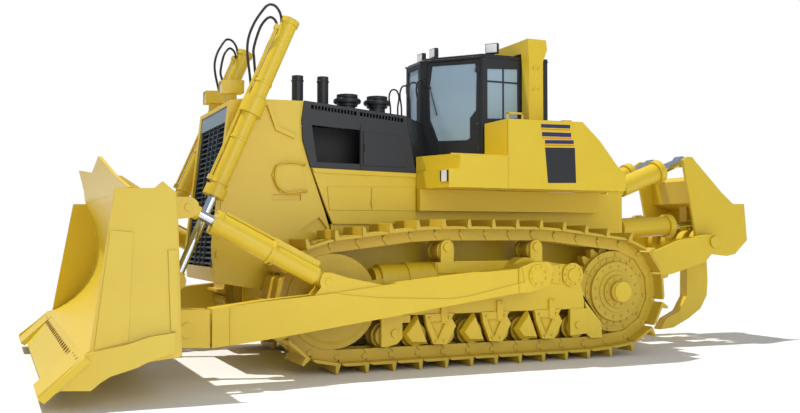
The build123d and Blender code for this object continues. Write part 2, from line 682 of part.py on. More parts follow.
MOLD = mold_section()
PUSH_Y = (ARM_Y0 + ARM_Y1) / 2
with BuildPart() as moldboard:
    with BuildSketch(Plane.XZ.offset(-BLADE_LOW_Y)):
        add(MOLD)
    extrude(amount=2 * BLADE_LOW_Y)
    # leaning ends
    for side in SIDES:
        with BuildSketch(Plane.YZ.offset(4000)):
            flat(((side * (BLADE_LOW_Y - 40), 536), (side * (BLADE_TOP_Y - 40), 2238),
                  (side * (BLADE_TOP_Y - 90), 2500), (side * 3300, 2500), (side * 3300, 300),
                  (side * (BLADE_LOW_Y - 0), 300)))
        extrude(amount=1800, mode=Mode.SUBTRACT)
    # push lugs
    for side in SIDES:
        for y0, y1 in ((ARM_Y0 - 12, ARM_Y0 + 48), (ARM_Y1 - 48, ARM_Y1 + 12)):
            with BuildSketch(side_plane(side, y0)):
                with Locations(ARM_PIN):
                    Circle(190)
                flat(((ARM_PIN[0], ARM_PIN[1] + 190), (4400, 1000), (4400, 470), (ARM_PIN[0], ARM_PIN[1] - 190)))
            extrude(amount=-side * (y1 - y0))
        with BuildSketch(side_plane(side, ARM_Y0 - 12)):
            with Locations(ARM_PIN):
                Circle(ARM_PIN_R)
        extrude(amount=-side * (ARM_Y1 - ARM_Y0 + 24))
        # tilt cylinder ears
        for y0 in (TILT_Y - 107, TILT_Y + 77):
            with BuildSketch(side_plane(side, y0)):
                with Locations(TILT_FRONT):
                    Circle(120)
                flat(((4090, 2180), (4420, 2180), (4420, 1900), (4060, 1945)))
            extrude(amount=-side * 30)
        # lift lugs
        for y0 in (LIFT_Y - 105, LIFT_Y + 75):
            with BuildSketch(side_plane(side, y0)):
                with Locations((4060, 1180)):
                    Circle(110)
                flat(((4060, 1290), (4400, 1400), (4400, 950), (4060, 1070)))
            extrude(amount=-side * 30)
moldboard.part.label = "moldboard"
export_step(moldboard.part, "parts/moldboard.step")

with BuildPart() as blade_ends:
    for side in SIDES:
        with BuildSketch(side_plane(side, BLADE_TOP_Y - 700)):
            flat(PLATE_SIDE)
        extrude(amount=-side * 1400)
        with BuildSketch(Plane.YZ.offset(4000)):
            flat(((side * (BLADE_LOW_Y - 40), 536), (side * (BLADE_TOP_Y - 40), 2238),
                  (side * (BLADE_TOP_Y - 56), 2330), (side * 1700, 2400), (side * 1700, 200),
                  (side * (BLADE_LOW_Y + 5), 300)))
        extrude(amount=1800, mode=Mode.SUBTRACT)
        with BuildSketch(Plane.YZ.offset(4000)):
            flat(((side * (BLADE_LOW_Y + 0), 536), (side * (BLADE_TOP_Y + 0), 2238),
                  (side * (BLADE_TOP_Y - 16), 2330), (side * 3900, 2400), (side * 3900, 200),
                  (side * (BLADE_LOW_Y + 45), 300)))
        extrude(amount=1800, mode=Mode.SUBTRACT)
blade_ends.part.label = "blade_ends"
export_step(blade_ends.part, "parts/blade_ends.step")

with BuildPart() as cutting_edge:
    with BuildSketch(Plane.XZ.offset(-BIT_Y)):
        flat(EDGE_SIDE)
    extrude(amount=2 * BIT_Y)
    for side in SIDES:
        with BuildSketch(side_plane(side, BIT_Y)):
            flat(((5717, 160), (5290, 545), (5245, 505), (5660, 120)))
        extrude(amount=-side * (3137 - BIT_Y))
cutting_edge.part.label = "cutting_edge"
export_step(cutting_edge.part, "parts/cutting_edge.step")

# spill guard: y, z of the top
GUARD_TOP = ((-2100, 2240.3), (-1900, 2560), (-1300, 2800), (0, 2480), (1300, 2800), (1900, 2560),
             (2100, 2240.3))
with BuildPart() as spill_guard:
    with BuildSketch(Plane.YZ.offset(4690)):
        flat(GUARD_TOP)
    extrude(amount=60)
spill_guard.part.label = "spill_guard"
export_step(spill_guard.part, "parts/spill_guard.step")


# ------------------------------------------------------------ blade cylinders
def along(p, q):
    """Unit vector and length from p to q in a side view."""
    length = math.hypot(q[0] - p[0], q[1] - p[1])
    return ((q[0] - p[0]) / length, (q[1] - p[1]) / length), length


def axis_plane(p, q, side, y):
    """Plane at p facing q, with local X across (sideways) in Y."""
    (dx, dz), _ = along(p, q)
    return Plane(origin=(p[0], side * y, p[1]), x_dir=(0, 1, 0), z_dir=(dx, 0, dz))


LIFT_BARREL = 2520
LIFT_R, LIFT_ROD_R = 110, 55
with BuildPart() as lift_barrels:
    for side in SIDES:
        base = axis_plane(LIFT_TOP, LIFT_PIN, side, LIFT_Y)
        for z0, z1, radius in ((0, LIFT_BARREL, LIFT_R), (LIFT_BARREL - 130, LIFT_BARREL, 140),
                               (LIFT_PIVOT_AT - 110, LIFT_PIVOT_AT + 110, 150)):
            with BuildSketch(base.offset(z0)):
                Circle(radius)
            extrude(amount=z1 - z0)
        with BuildSketch(side_plane(side, NOSE_Y + 60 - 30)):
            with Locations(LIFT_PIVOT):
                Circle(LIFT_PIVOT_R)
        extrude(amount=-side * (LIFT_Y - NOSE_Y - 60))
        with BuildSketch(base.offset(60)):
            Circle(LIFT_ROD_R + SEAT)
        extrude(amount=LIFT_BARREL, mode=Mode.SUBTRACT)
lift_barrels.part.label = "lift_barrels"
export_step(lift_barrels.part, "parts/lift_barrels.step")

with BuildPart() as lift_rods:
    for side in SIDES:
        base = axis_plane(LIFT_TOP, LIFT_PIN, side, LIFT_Y)
        with BuildSketch(base.offset(LIFT_BARREL - 950)):
            Circle(LIFT_ROD_R)
        extrude(amount=LIFT_SPAN - LIFT_BARREL + 950)
        with BuildSketch(side_plane(side, LIFT_Y - 60)):
            with Locations(LIFT_PIN):
                Circle(95)
        extrude(amount=-side * 120)
lift_rods.part.label = "lift_rods"
export_step(lift_rods.part, "parts/lift_rods.step")

TILT_DIR, TILT_SPAN = along(TILT_REAR, TILT_FRONT)
with BuildPart() as tilt_rods:
    for side in SIDES:
        base = axis_plane(TILT_REAR, TILT_FRONT, side, TILT_Y)
        with BuildSketch(base):
            Circle(75)
        extrude(amount=1200)
        with BuildSketch(side_plane(side, TILT_Y - 60)):
            with Locations(TILT_REAR):
                Circle(100)
        extrude(amount=-side * 120)
tilt_rods.part.label = "tilt_rods"
export_step(tilt_rods.part, "parts/tilt_rods.step")

with BuildPart() as tilt_barrels:
    for side in SIDES:
        base = axis_plane(TILT_REAR, TILT_FRONT, side, TILT_Y)
        for z0, z1, radius in ((760, 1640, 130), (760, 880, 145), (1560, TILT_SPAN, 60)):
            with BuildSketch(base.offset(z0)):
                Circle(radius)
            extrude(amount=z1 - z0)
        with BuildSketch(side_plane(side, TILT_Y - 65)):
            with Locations(TILT_FRONT):
                Circle(105)
        extrude(amount=-side * 130)
        with BuildSketch(base.offset(700)):
            Circle(75 + SEAT)
        extrude(amount=800, mode=Mode.SUBTRACT)
tilt_barrels.part.label = "tilt_barrels"
export_step(tilt_barrels.part, "parts/tilt_barrels.step")

# ------------------------------------------------------------ ripper
RIP_A = (-3050, 1180)      # arm's front pin
RIP_B = (-4793, 1642)      # arm's rear pin
RIP_C = (-3120, 2480)      # tilt cylinder's front pin
RIP_D = (-4492, 2992)      # tilt cylinder's rear pin
RIP_E = (-3080, 1850)      # lift cylinder's front pin
RIP_F = (-4798, 1943)      # lift cylinder's rear pin
RIP_PIN_R = 70
RIP_ARM_Y0, RIP_ARM_Y1 = 690, 850
RIP_CYL_Y = 370
PLATE_Y0, PLATE_Y1 = 580, 630
BEAM_SIDE = ((-4343, 3004), (-4430, 3060), (-4540, 3060), (-4619, 2980), (-5176, 2471), (-5417, 2289),
             (-5664, 2292), (-5721, 1675), (-5447, 1436), (-5270, 1404), (-4747, 1458), (-4602, 1758))
with BuildPart() as ripper_bracket:
    with BuildSketch(Plane.XZ.offset(-HULL_Y)):
        flat(((-2800.3, 1000), (-2800.3, 2400), (-2880, 2400), (-2880, 1000)))
    extrude(amount=2 * HULL_Y)
    for side in SIDES:
        # arm cheeks
        for y0 in (RIP_ARM_Y0 - GAP - 60, RIP_ARM_Y1 + GAP):
            with BuildSketch(side_plane(side, y0)):
                with Locations(RIP_A):
                    Circle(150)
                flat(((-2879, 1000), (-2879, 1450), (-3050, 1330), (-3050, 1030)))
            extrude(amount=-side * 60)
        with BuildSketch(side_plane(side, RIP_ARM_Y0 - GAP - 60)):
            with Locations(RIP_A):
                Circle(RIP_PIN_R)
        extrude(amount=-side * (RIP_ARM_Y1 - RIP_ARM_Y0 + 2 * GAP + 120))
        # cylinder cheeks
        for (px, pz) in (RIP_C, RIP_E):
            for y0 in (RIP_CYL_Y - 130, RIP_CYL_Y + 90):
                with BuildSketch(side_plane(side, y0)):
                    with Locations((px, pz)):
                        Circle(110)
                    flat(((-2879, pz - 180), (-2879, min(pz + 180, 2400)), (px, pz + 110), (px, pz - 110)))
                extrude(amount=-side * 40)
            with BuildSketch(side_plane(side, RIP_CYL_Y - 130)):
                with Locations((px, pz)):
                    Circle(50)
            extrude(amount=-side * 260)
ripper_bracket.part.label = "ripper_bracket"
export_step(ripper_bracket.part, "parts/ripper_bracket.step")

with BuildPart() as ripper_arms:
    for side in SIDES:
        with BuildSketch(side_plane(side, RIP_ARM_Y0)):
            for px, pz in (RIP_A, RIP_B):
                with Locations((px, pz)):
                    Circle(140)
            flat(((-3050, 1320), (-4100, 1680), (-4793, 1782), (-4793, 1502), (-4594, 1312), (-3884, 1126),
                  (-3050, 1040)))
            with Locations(RIP_A, RIP_B):
                Circle(RIP_PIN_R + RUN, mode=Mode.SUBTRACT)
        extrude(amount=-side * (RIP_ARM_Y1 - RIP_ARM_Y0))
    with BuildSketch(Plane.XZ.offset(-RIP_ARM_Y0)):
        with Locations((-3880, 1350)):
            Rectangle(300, 260)
    extrude(amount=2 * RIP_ARM_Y0)
ripper_arms.part.label = "ripper_arms"
export_step(ripper_arms.part, "parts/ripper_arms.step")

# drums of the tilt shaft, clear of the shank and the lift rods: y0, y1, radius
SHAFT_DRUMS = ((130, 285, 195), (460, 568, 220))
with BuildPart() as ripper_pins:
    with BuildSketch(Plane.XZ.offset(-PLATE_Y0)):
        with Locations(RIP_B):
            Circle(RIP_PIN_R)
    extrude(amount=2 * PLATE_Y0)
    for side in SIDES:
        for y0, y1, radius in SHAFT_DRUMS:
            with BuildSketch(side_plane(side, y0)):
                with Locations(RIP_B):
                    Circle(radius)
            extrude(amount=-side * (y1 - y0))
        with BuildSketch(side_plane(side, PLATE_Y0 - 60)):
            with Locations(RIP_B):
                Circle(RIP_PIN_R)
        extrude(amount=-side * (RIP_ARM_Y1 + 20 - PLATE_Y0 + 60))
        with BuildSketch(side_plane(side, RIP_ARM_Y1 + GAP)):
            with Locations(RIP_B):
                Circle(RIP_PIN_R + 30)
        extrude(amount=-side * 25)
ripper_pins.part.label = "ripper_pins"
export_step(ripper_pins.part, "parts/ripper_pins.step")

with BuildPart() as ripper_beam:
    for side in SIDES:
        with BuildSketch(side_plane(side, PLATE_Y0)):
            flat(BEAM_SIDE)
            with Locations(RIP_B):
                Circle(150)
                Circle(RIP_PIN_R + RUN, mode=Mode.SUBTRACT)
        extrude(amount=-side * (PLATE_Y1 - PLATE_Y0))
    # cross boxes round the shank's pocket
    with BuildSketch(Plane.XZ.offset(-PLATE_Y0)):
        flat(((-4700, 2300), (-4660, 2680), (-4780, 2760), (-5100, 2480), (-5560, 2230), (-5620, 1760),
              (-5440, 1540), (-5280, 1500), (-5000, 1500), (-5040, 1700), (-5040, 2200)))
    extrude(amount=2 * PLATE_Y0)
    with BuildSketch(Plane.XY.offset(1400)):
        with Locations((-5100, 0)):
            Rectangle(440, 190)
    extrude(amount=1300, mode=Mode.SUBTRACT)
ripper_beam.part.label = "ripper_beam"
export_step(ripper_beam.part, "parts/ripper_beam.step")

with BuildPart() as ripper_shank:
    with BuildSketch(Plane.XZ.offset(-90)):
        flat(((-4881, 2450), (-5319, 2450), (-5319, 1300), (-5336, 970), (-5310, 707), (-5172, 484), (-4903, 319),
              (-4572, 176), (-4292, 153), (-4420, 330), (-4700, 450), (-4870, 700), (-4881, 1120)))
    extrude(amount=180)
ripper_shank.part.label = "ripper_shank"
export_step(ripper_shank.part, "parts/ripper_shank.step")

for name, p, q, radius, head, rod, length in (
        ("ripper_tilt", RIP_C, RIP_D, 160, 195, 75, 1000),
        ("ripper_lift", RIP_E, RIP_F, 160, 195, 60, 1180)):
    way, span = along(p, q)
    with BuildPart() as barrels:
        for side in SIDES:
            base = axis_plane(p, q, side, RIP_CYL_Y)
            with BuildSketch(side_plane(side, RIP_CYL_Y - 80)):
                with Locations(p):
                    Circle(100)
            extrude(amount=-side * 160)
            for z0, z1, r in ((60, 140, 80), (140, length, radius), (length - 110, length, head)):
                with BuildSketch(base.offset(z0)):
                    Circle(r)
                extrude(amount=z1 - z0)
            with BuildSketch(base.offset(200)):
                Circle(rod + SEAT)
            extrude(amount=length, mode=Mode.SUBTRACT)
            with BuildSketch(side_plane(side, RIP_CYL_Y - 90)):
                with Locations(p):
                    Circle(50 + RUN)
            extrude(amount=-side * 180, mode=Mode.SUBTRACT)
    barrels.part.label = name + "_barrels"
    export_step(barrels.part, "parts/" + name + "_barrels.step")
    with BuildPart() as rods:
        for side in SIDES:
            base = axis_plane(p, q, side, RIP_CYL_Y)
            with BuildSketch(base.offset(length - 450)):
                Circle(rod)
            extrude(amount=span - length + 450)
            with BuildSketch(side_plane(side, RIP_CYL_Y - 70)):
                with Locations(q):
                    Circle(95)
            extrude(amount=-side * 140)
    rods.part.label = name + "_rods"
    export_step(rods.part, "parts/" + name + "_rods.step")
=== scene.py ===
"""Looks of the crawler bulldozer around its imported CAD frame.

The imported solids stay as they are.  Pieces made here take their place where
they carry more of the real machine's form, and ride on the same bodies.
"""
import bmesh
import bpy
import math
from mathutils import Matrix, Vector


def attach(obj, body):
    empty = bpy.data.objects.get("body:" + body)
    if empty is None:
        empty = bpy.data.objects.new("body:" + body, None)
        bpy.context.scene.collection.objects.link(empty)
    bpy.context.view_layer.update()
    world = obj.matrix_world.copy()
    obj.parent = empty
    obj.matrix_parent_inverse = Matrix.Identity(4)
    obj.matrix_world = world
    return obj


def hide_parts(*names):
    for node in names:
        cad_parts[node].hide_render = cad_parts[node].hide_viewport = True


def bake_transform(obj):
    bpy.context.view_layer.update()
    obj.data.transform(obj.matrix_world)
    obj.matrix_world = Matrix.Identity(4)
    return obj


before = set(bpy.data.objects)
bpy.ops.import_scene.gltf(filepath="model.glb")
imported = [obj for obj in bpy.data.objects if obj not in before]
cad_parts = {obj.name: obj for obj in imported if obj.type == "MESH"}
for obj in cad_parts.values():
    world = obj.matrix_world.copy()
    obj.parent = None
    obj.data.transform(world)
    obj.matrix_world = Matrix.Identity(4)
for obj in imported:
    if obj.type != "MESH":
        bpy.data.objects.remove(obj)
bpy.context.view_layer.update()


# ---- materials
def srgb(red, green, blue):
    """Linear colour of an sRGB one given in 0..255."""
    def one(value):
        value /= 255
        return value / 12.92 if value <= 0.04045 else ((value + 0.055) / 1.055) ** 2.4
    return (one(red), one(green), one(blue), 1)


SOFT_EDGE = 0.006          # metres that the shading rounds an edge by
DRIFT_SCALE, FINE_SCALE, FINE_RISE = 3.0, 60, 0.004


def put(node, **values):
    """Sets a node's inputs, their names written with _ for a space."""
    for name, value in values.items():
        node.inputs[name.replace("_", " ")].default_value = value


def paint(name, colour, rough, metal=0.0, shade=None, coat=0.0, bump=0.0):
    """Paint with soft edges and a slow drift towards a second shade."""
    mat = bpy.data.materials.new(name)
    mat.use_nodes = True
    nodes, link = mat.node_tree.nodes, mat.node_tree.links.new
    shader = nodes["Principled BSDF"]
    put(shader, Base_Color=colour, Roughness=rough, Metallic=metal, Coat_Weight=coat,
        Coat_Roughness=0.15)
    where = nodes.new("ShaderNodeTexCoord")
    noise = nodes.new("ShaderNodeTexNoise")
    put(noise, Scale=DRIFT_SCALE, Detail=6)
    link(where.outputs["Object"], noise.inputs["Vector"])
    if shade:
        mix = nodes.new("ShaderNodeMix")
        mix.data_type = "RGBA"
        put(mix, A=colour, B=shade)
        link(noise.outputs["Fac"], mix.inputs["Factor"])
        link(mix.outputs["Result"], shader.inputs["Base Color"])
    soft = nodes.new("ShaderNodeBevel")
    soft.samples = 4
    put(soft, Radius=SOFT_EDGE)
    if bump:
        fine = nodes.new("ShaderNodeTexNoise")
        put(fine, Scale=FINE_SCALE)
        link(where.outputs["Object"], fine.inputs["Vector"])
        rise = nodes.new("ShaderNodeBump")
        put(rise, Strength=bump, Distance=FINE_RISE)
        link(fine.outputs["Fac"], rise.inputs["Height"])
        link(soft.outputs["Normal"], rise.inputs["Normal"])
        link(rise.outputs["Normal"], shader.inputs["Normal"])
    else:
        link(soft.outputs["Normal"], shader.inputs["Normal"])
    return mat


PAINT = paint("machine_yellow", srgb(222, 193, 44), 0.42, shade=srgb(216, 184, 36), coat=0.2)
# track yellow: darker than the machine yellow as painted shade, with a rougher finish and fine
# bumps for wear
PAINT_WORN_SHADED = paint("track_yellow", srgb(208, 179, 54), 0.5, shade=srgb(188, 158, 42), coat=0.05,
    bump=0.2)
BLACK = paint("hood_black", srgb(34, 37, 43), 0.45, shade=srgb(28, 31, 36))
DARK = paint("dark_iron", srgb(30, 30, 32), 0.6)
CHROME = paint("rod_chrome", srgb(200, 208, 222), 0.1, metal=1.0)
# bolt heads: the machine's yellow darkened, a painted shade
BOLT_YELLOW_SHADED = paint("bolt_yellow_painted_shade", srgb(120, 92, 34), 0.5)
GRILLE_PAINT = paint("grille_paint", srgb(70, 84, 100), 0.45, shade=srgb(58, 72, 88))
HEADER_PAINT = paint("header_paint", srgb(122, 142, 162), 0.4)
LENS = paint("lamp_lens", srgb(236, 238, 240), 0.15, coat=0.5)
BAND_BLUE = paint("band_blue", srgb(38, 44, 88), 0.4)
LINE_ORANGE = paint("line_orange", srgb(226, 120, 30), 0.4)
RUBBER = paint("hose_rubber", srgb(26, 28, 30), 0.45)
GLASS = paint("cab_glass", srgb(164, 192, 214), 0.05, coat=1.0)
put(GLASS.node_tree.nodes["Principled BSDF"], Alpha=0.82)

BY_NODE = {
    "engine_hood": BLACK, "cab_shell": BLACK, "cab_door_left": BLACK, "cab_door_right": BLACK,
    "exhaust_stacks": BLACK, "air_cleaners": BLACK, "radiator_grille": GRILLE_PAINT,
    "radiator_core": DARK, "door_glass_left": GLASS, "door_glass_right": GLASS,
    "lift_rods": CHROME, "tilt_rods": CHROME, "ripper_tilt_rods": CHROME,
    "ripper_lift_rods": CHROME, "engine_block": DARK, "cab_seat": DARK,
}
for node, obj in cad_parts.items():
    obj.data.materials.clear()
    obj.data.materials.append(BY_NODE.get(node, PAINT))


# ---- solids on meshes
CUT = "cut"
ROUND = 36                 # sides of a round piece
SKIN, SKINS = 0.3, 9       # step and number of the small lengths that keep faces apart


class Plane:
    """Sketch plane in millimetres, with local x, y and its normal z."""

    def __init__(self, origin=(0, 0, 0), x_dir=(1, 0, 0), z_dir=(0, 0, 1)):
        self.origin = Vector(origin)
        self.x, self.z = Vector(x_dir).normalized(), Vector(z_dir).normalized()
        self.y = self.z.cross(self.x)

    def offset(self, amount):
        return Plane(self.origin + self.z * amount, self.x, self.z)

    def at(self, u, v, w=0):
        return self.origin + self.x * u + self.y * v + self.z * w


XY = Plane()
XZ = Plane(z_dir=(0, -1, 0))
YZ = Plane(x_dir=(0, 1, 0), z_dir=(1, 0, 0))


def placed(name, data):
    """New object of the scene."""
    obj = bpy.data.objects.new(name, data)
    bpy.context.scene.collection.objects.link(obj)
    return obj


def evaluated(obj):
    """New mesh of an object with its modifiers or bevel."""
    ready = obj.evaluated_get(bpy.context.evaluated_depsgraph_get())
    return bpy.data.meshes.new_from_object(ready)


def merge(target, source):
    """Adds one bmesh to another."""
    mesh = bpy.data.meshes.new("part")
    source.to_mesh(mesh)
    target.from_mesh(mesh)
    bpy.data.meshes.remove(mesh)


def carve(target, tool):
    """Takes the tool's bmesh out of the target's."""
    pair = []
    for source in (target, tool):
        mesh = bpy.data.meshes.new("part")
        source.to_mesh(mesh)
        pair.append(placed("part", mesh))
    cut = pair[0].modifiers.new("cut", "BOOLEAN")
    cut.object, cut.operation, cut.solver, cut.use_self = pair[1], "DIFFERENCE", "EXACT", True
    left = evaluated(pair[0])
    target.clear()
    target.from_mesh(left)
    for obj in pair:
        mesh = obj.data
        bpy.data.objects.remove(obj)
        bpy.data.meshes.remove(mesh)
    bpy.data.meshes.remove(left)


def hull(low, high):
    """Closed bmesh between two loops of as many corners."""
    mesh = bmesh.new()
    bottom = [mesh.verts.new(p) for p in low]
    top = [mesh.verts.new(p) for p in high]
    mesh.faces.new(bottom)
    mesh.faces.new(top)
    for i in range(len(low)):
        j = (i + 1) % len(low)
        mesh.faces.new((bottom[i], bottom[j], top[j], top[i]))
    bmesh.ops.recalc_face_normals(mesh, faces=mesh.faces[:])
    return mesh


def ring(at, radius, sides=ROUND):
    """Corners of a round outline."""
    turns = [math.tau * i / sides for i in range(sides)]
    return [(at[0] + radius * math.cos(a), at[1] + radius * math.sin(a)) for a in turns]


def turned(points, angle, at):
    """Flat corners turned by an angle in degrees and moved to a place."""
    c, s = math.cos(math.radians(angle)), math.sin(math.radians(angle))
    return [(at[0] + c * x - s * y, at[1] + s * x + c * y) for x, y in points]


class Body:
    """A solid under construction."""

    def __init__(self):
        self.mesh = bmesh.new()
        self.count = 0

    def span(self, low, high, mode=None):
        """Solid between two loops of as many corners, added or cut out."""
        piece = hull(low, high)
        (carve if mode == CUT else merge)(self.mesh, piece)
        piece.free()

    def prism(self, plane, points, amount, mode=None, tip=1.0):
        """Outline on a plane, extruded; `tip` scales its far end about the middle."""
        # each piece is a hair longer than the last, so that no two faces lie in one plane
        self.count += 1
        skin = 0 if mode == CUT else SKIN * (self.count % SKINS) * (1 if amount > 0 else -1)
        plane, amount = plane.offset(-skin), amount + 2 * skin
        mx = sum(p[0] for p in points) / len(points)
        my = sum(p[1] for p in points) / len(points)
        far = [(mx + (x - mx) * tip, my + (y - my) * tip) for x, y in points]
        near = [plane.at(x, y) for x, y in points]
        self.span(near, [plane.at(x, y, amount) for x, y in far], mode)

    def plate(self, side, y0, y1, points, mode=None, tip=1.0):
        """Side outline from |Y| = y0 out to y1."""
        self.prism(XZ.offset(-side * y0), points, -side * (y1 - y0), mode, tip)

    def disc(self, side, y0, y1, at, radius, mode=None):
        self.plate(side, y0, y1, ring(at, radius), mode)

    def plates(self, side, base, *rows, mode=None):
        """Rows of start and end outside of |Y| = base, and side outline."""
        for y0, y1, points in rows:
            self.plate(side, base + y0, base + y1, points, mode)

    def discs(self, side, base, at, *rows):
        """Rows of start and end outside of |Y| = base, and radius."""
        for y0, y1, radius in rows:
            self.disc(side, base + y0, base + y1, at, radius)

    def bolts(self, side, y0, y1, middle, reach, count, radius, start=0):
        """Bolt heads on a circle of radius `reach`."""
        for bolt in range(count):
            at = turned(((reach, 0),), 360 * bolt / count + start, middle)[0]
            self.disc(side, y0, y1, at, radius)

    def head_bolts(self, plane, reach, radius, length, start=0):
        """Eight bolt heads round a cylinder's head."""
        for bolt in range(8):
            at = turned(((reach, 0),), 45 * bolt + start, (0, 0))[0]
            self.prism(plane, ring(at, radius, 12), length)

    def across(self, half, points, mode=None):
        """Side outline from -half to half in Y."""
        self.prism(XZ.offset(-half), points, 2 * half, mode)

    def slab(self, z0, z1, points, mode=None):
        """Plan outline from z0 up to z1."""
        self.prism(XY.offset(z0), points, z1 - z0, mode)

    def rod(self, plane, steps):
        """Stepped round bar on a plane: rows of start, end and radius."""
        for w0, w1, radius in steps:
            self.prism(plane.offset(w0), ring((0, 0), radius), w1 - w0)


def box_plan(x0, x1, y0, y1):
    """Corners of a rectangle."""
    return ((x0, y0), (x1, y0), (x1, y1), (x0, y1))


def on_side(side, plan):
    """Plan corners of the left side, for either side."""
    return [(x, side * y) for x, y in plan]


def scaled(points, centre, wide, high):
    """Corners scaled about a centre."""
    return [(centre[0] + (x - centre[0]) * wide, centre[1] + (z - centre[1]) * high)
            for x, z in points]


def tube(name, points, radius, ride_on, look):
    """Round bar or pipe through points in millimetres, with rounded bends."""
    line = bpy.data.curves.new(name, "CURVE")
    line.dimensions = "3D"
    line.bevel_depth = radius / 1000
    line.bevel_resolution = 4
    line.resolution_u = 8
    run = line.splines.new("BEZIER")
    run.bezier_points.add(len(points) - 1)
    for knot, point in zip(run.bezier_points, points):
        knot.co = Vector(point) / 1000
        knot.handle_left_type = knot.handle_right_type = "AUTO"
    line.use_fill_caps = True
    maker = placed(name, line)
    mesh = evaluated(maker)
    bpy.data.objects.remove(maker)
    bpy.data.curves.remove(line)
    obj = placed(name, mesh)
    mesh.materials.clear()
    mesh.materials.append(look)
    for face in mesh.polygons:
        face.use_smooth = True
    if ride_on:
        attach(obj, ride_on)
    return obj


def show(name, body, look, *hides, on="tractor"):
    """Turns a body into a piece that rides on a CAD body and stands for CAD nodes."""
    mesh = bpy.data.meshes.new(name)
    bmesh.ops.scale(body.mesh, vec=(0.001, 0.001, 0.001), verts=body.mesh.verts[:])
    body.mesh.to_mesh(mesh)
    obj = placed(name, mesh)
    mesh.materials.append(look)
    if hides:
        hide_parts(*hides)
    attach(obj, on)


# ---- measures, millimetres
SIDES = (1, -1)
TAGGED = ((1, "left"), (-1, "right"))
GAP = 12                   # side clearance of moving pieces
GAUGE_Y = 1385             # middle of a belt
SHOE_W, SHOE_COUNT = 710, 35
GROUND_OFF = 195           # pitch line to grouser tips
SHOE_IN, SHOE_OUT = 62, 100
RAIL_IN, RAIL_Y, RAIL_T = -90, 142, 60
FIRST_PIN = 0.35           # share of a link from the loop's start to the first pin
SPROCKET, SPROCKET_R, SPROCKET_TEETH = (-2225, 928), 690, 23
IDLER, IDLER_R = (2165, 904), 705
GROUND_REAR, GROUND_FRONT = -1800, 1950
TOP_TIPS, TOP_FRONT, TOP_REAR = 1962, 900, -1000
CARRIER_XS, CARRIER_R, CARRIER_Z = (-852, 548), 133, 1538
ROLLER_XS, ROLLER_R, ROLLER_Z = [1422 - 422 * i for i in range(8)], 150, 435


# ---- crawler belts
def touch(px, pz, cx, cz, radius, turn):
    """Tangent point on a circle for a line from (px, pz)."""
    reach = math.hypot(cx - px, cz - pz)
    angle = math.atan2(cz - pz, cx - px) + turn * math.asin(radius / reach)
    run = math.sqrt(reach * reach - radius * radius)
    return (px + run * math.cos(angle), pz + run * math.sin(angle))


def on_arc(centre, radius, a0, a1, steps):
    """Points on a circle from one angle to another."""
    turns = [a0 + (a1 - a0) * i / steps for i in range(steps + 1)]
    return [(centre[0] + radius * math.cos(a), centre[1] + radius * math.sin(a)) for a in turns]


def arc(centre, radius, start, end, steps=60):
    """Points on an arc from one point to another, turning left."""
    a0 = math.atan2(start[1] - centre[1], start[0] - centre[0])
    a1 = math.atan2(end[1] - centre[1], end[0] - centre[0])
    return on_arc(centre, radius, a0, a1 + math.tau if a1 < a0 else a1, steps)


def belt_loop():
    """The belt's pitch line as a closed run of points."""
    low, high = GROUND_OFF, TOP_TIPS - GROUND_OFF
    a, b = (GROUND_REAR, low), (GROUND_FRONT, low)
    e, f = (TOP_FRONT, high), (TOP_REAR, high)
    front = arc(IDLER, IDLER_R, touch(*b, *IDLER, IDLER_R, -1), touch(*e, *IDLER, IDLER_R, 1))
    rear = arc(SPROCKET, SPROCKET_R, touch(*f, *SPROCKET, SPROCKET_R, -1),
            touch(*a, *SPROCKET, SPROCKET_R, 1))
    return [a, b] + front + [e, f] + rear


def link_pins():
    """Pins of the chain, evenly spaced along the pitch line."""
    loop = belt_loop()
    legs = list(zip(loop, loop[1:] + loop[:1]))
    total = sum(math.dist(p, q) for p, q in legs)
    pins, walked = [], 0
    for p, q in legs:
        leg = math.dist(p, q)
        while len(pins) < SHOE_COUNT:
            due = (len(pins) + FIRST_PIN) * total / SHOE_COUNT
            if due > walked + leg:
                break
            share = (due - walked) / leg
            pins.append((p[0] + share * (q[0] - p[0]), p[1] + share * (q[1] - p[1])))
        walked += leg
    return pins, total / SHOE_COUNT


PINS, PITCH = link_pins()
HALF = (PITCH - 8) / 2
SHOE = ((-HALF, -SHOE_IN), (-HALF, -SHOE_OUT), (-HALF + 14, -GROUND_OFF), (-HALF + 46, -GROUND_OFF),
    (-HALF + 62, -SHOE_OUT), (HALF - 48, -SHOE_OUT), (HALF, -SHOE_IN - 18), (HALF, -SHOE_IN))


def links():
    """Place and heading of each link."""
    for pin, after in zip(PINS, PINS[1:] + PINS[:1]):
        yield ((pin[0] + after[0]) / 2, (pin[1] + after[1]) / 2), math.degrees(
            math.atan2(after[1] - pin[1], after[0] - pin[0])), math.dist(pin, after) / 2


for side, tag in TAGGED:
    belt = Body()
    for middle, heading, half in links():
        # rails, shoe and its eight bolt heads
        rail = ((-half - 22, -SHOE_IN), (half - 30, -SHOE_IN), (half - 30, 30),
                (half + 18, -RAIL_IN), (-half + 26, -RAIL_IN), (-half - 22, 30))
        for lane in (-1, 1):
            y = GAUGE_Y + lane * RAIL_Y
            belt.plate(side, y - RAIL_T / 2, y + RAIL_T / 2, turned(rail, heading, middle))
        belt.plate(side, GAUGE_Y - SHOE_W / 2, GAUGE_Y + SHOE_W / 2, turned(SHOE, heading, middle))
        for along in (-40, 60):
            at = turned(((along, -SHOE_OUT + 3),), heading, middle)[0]
            for lane in (-172, -112, 112, 172):
                belt.plate(side, GAUGE_Y + lane - 16, GAUGE_Y + lane + 16,
                        turned(((-16, -14), (16, -14), (16, 3), (-16, 3)), heading, at))
    for pin in PINS:
        belt.disc(side, GAUGE_Y - 185, GAUGE_Y + 185, pin, 38)
    show("track_" + tag + "_belt", belt, PAINT_WORN_SHADED, "track_" + tag)

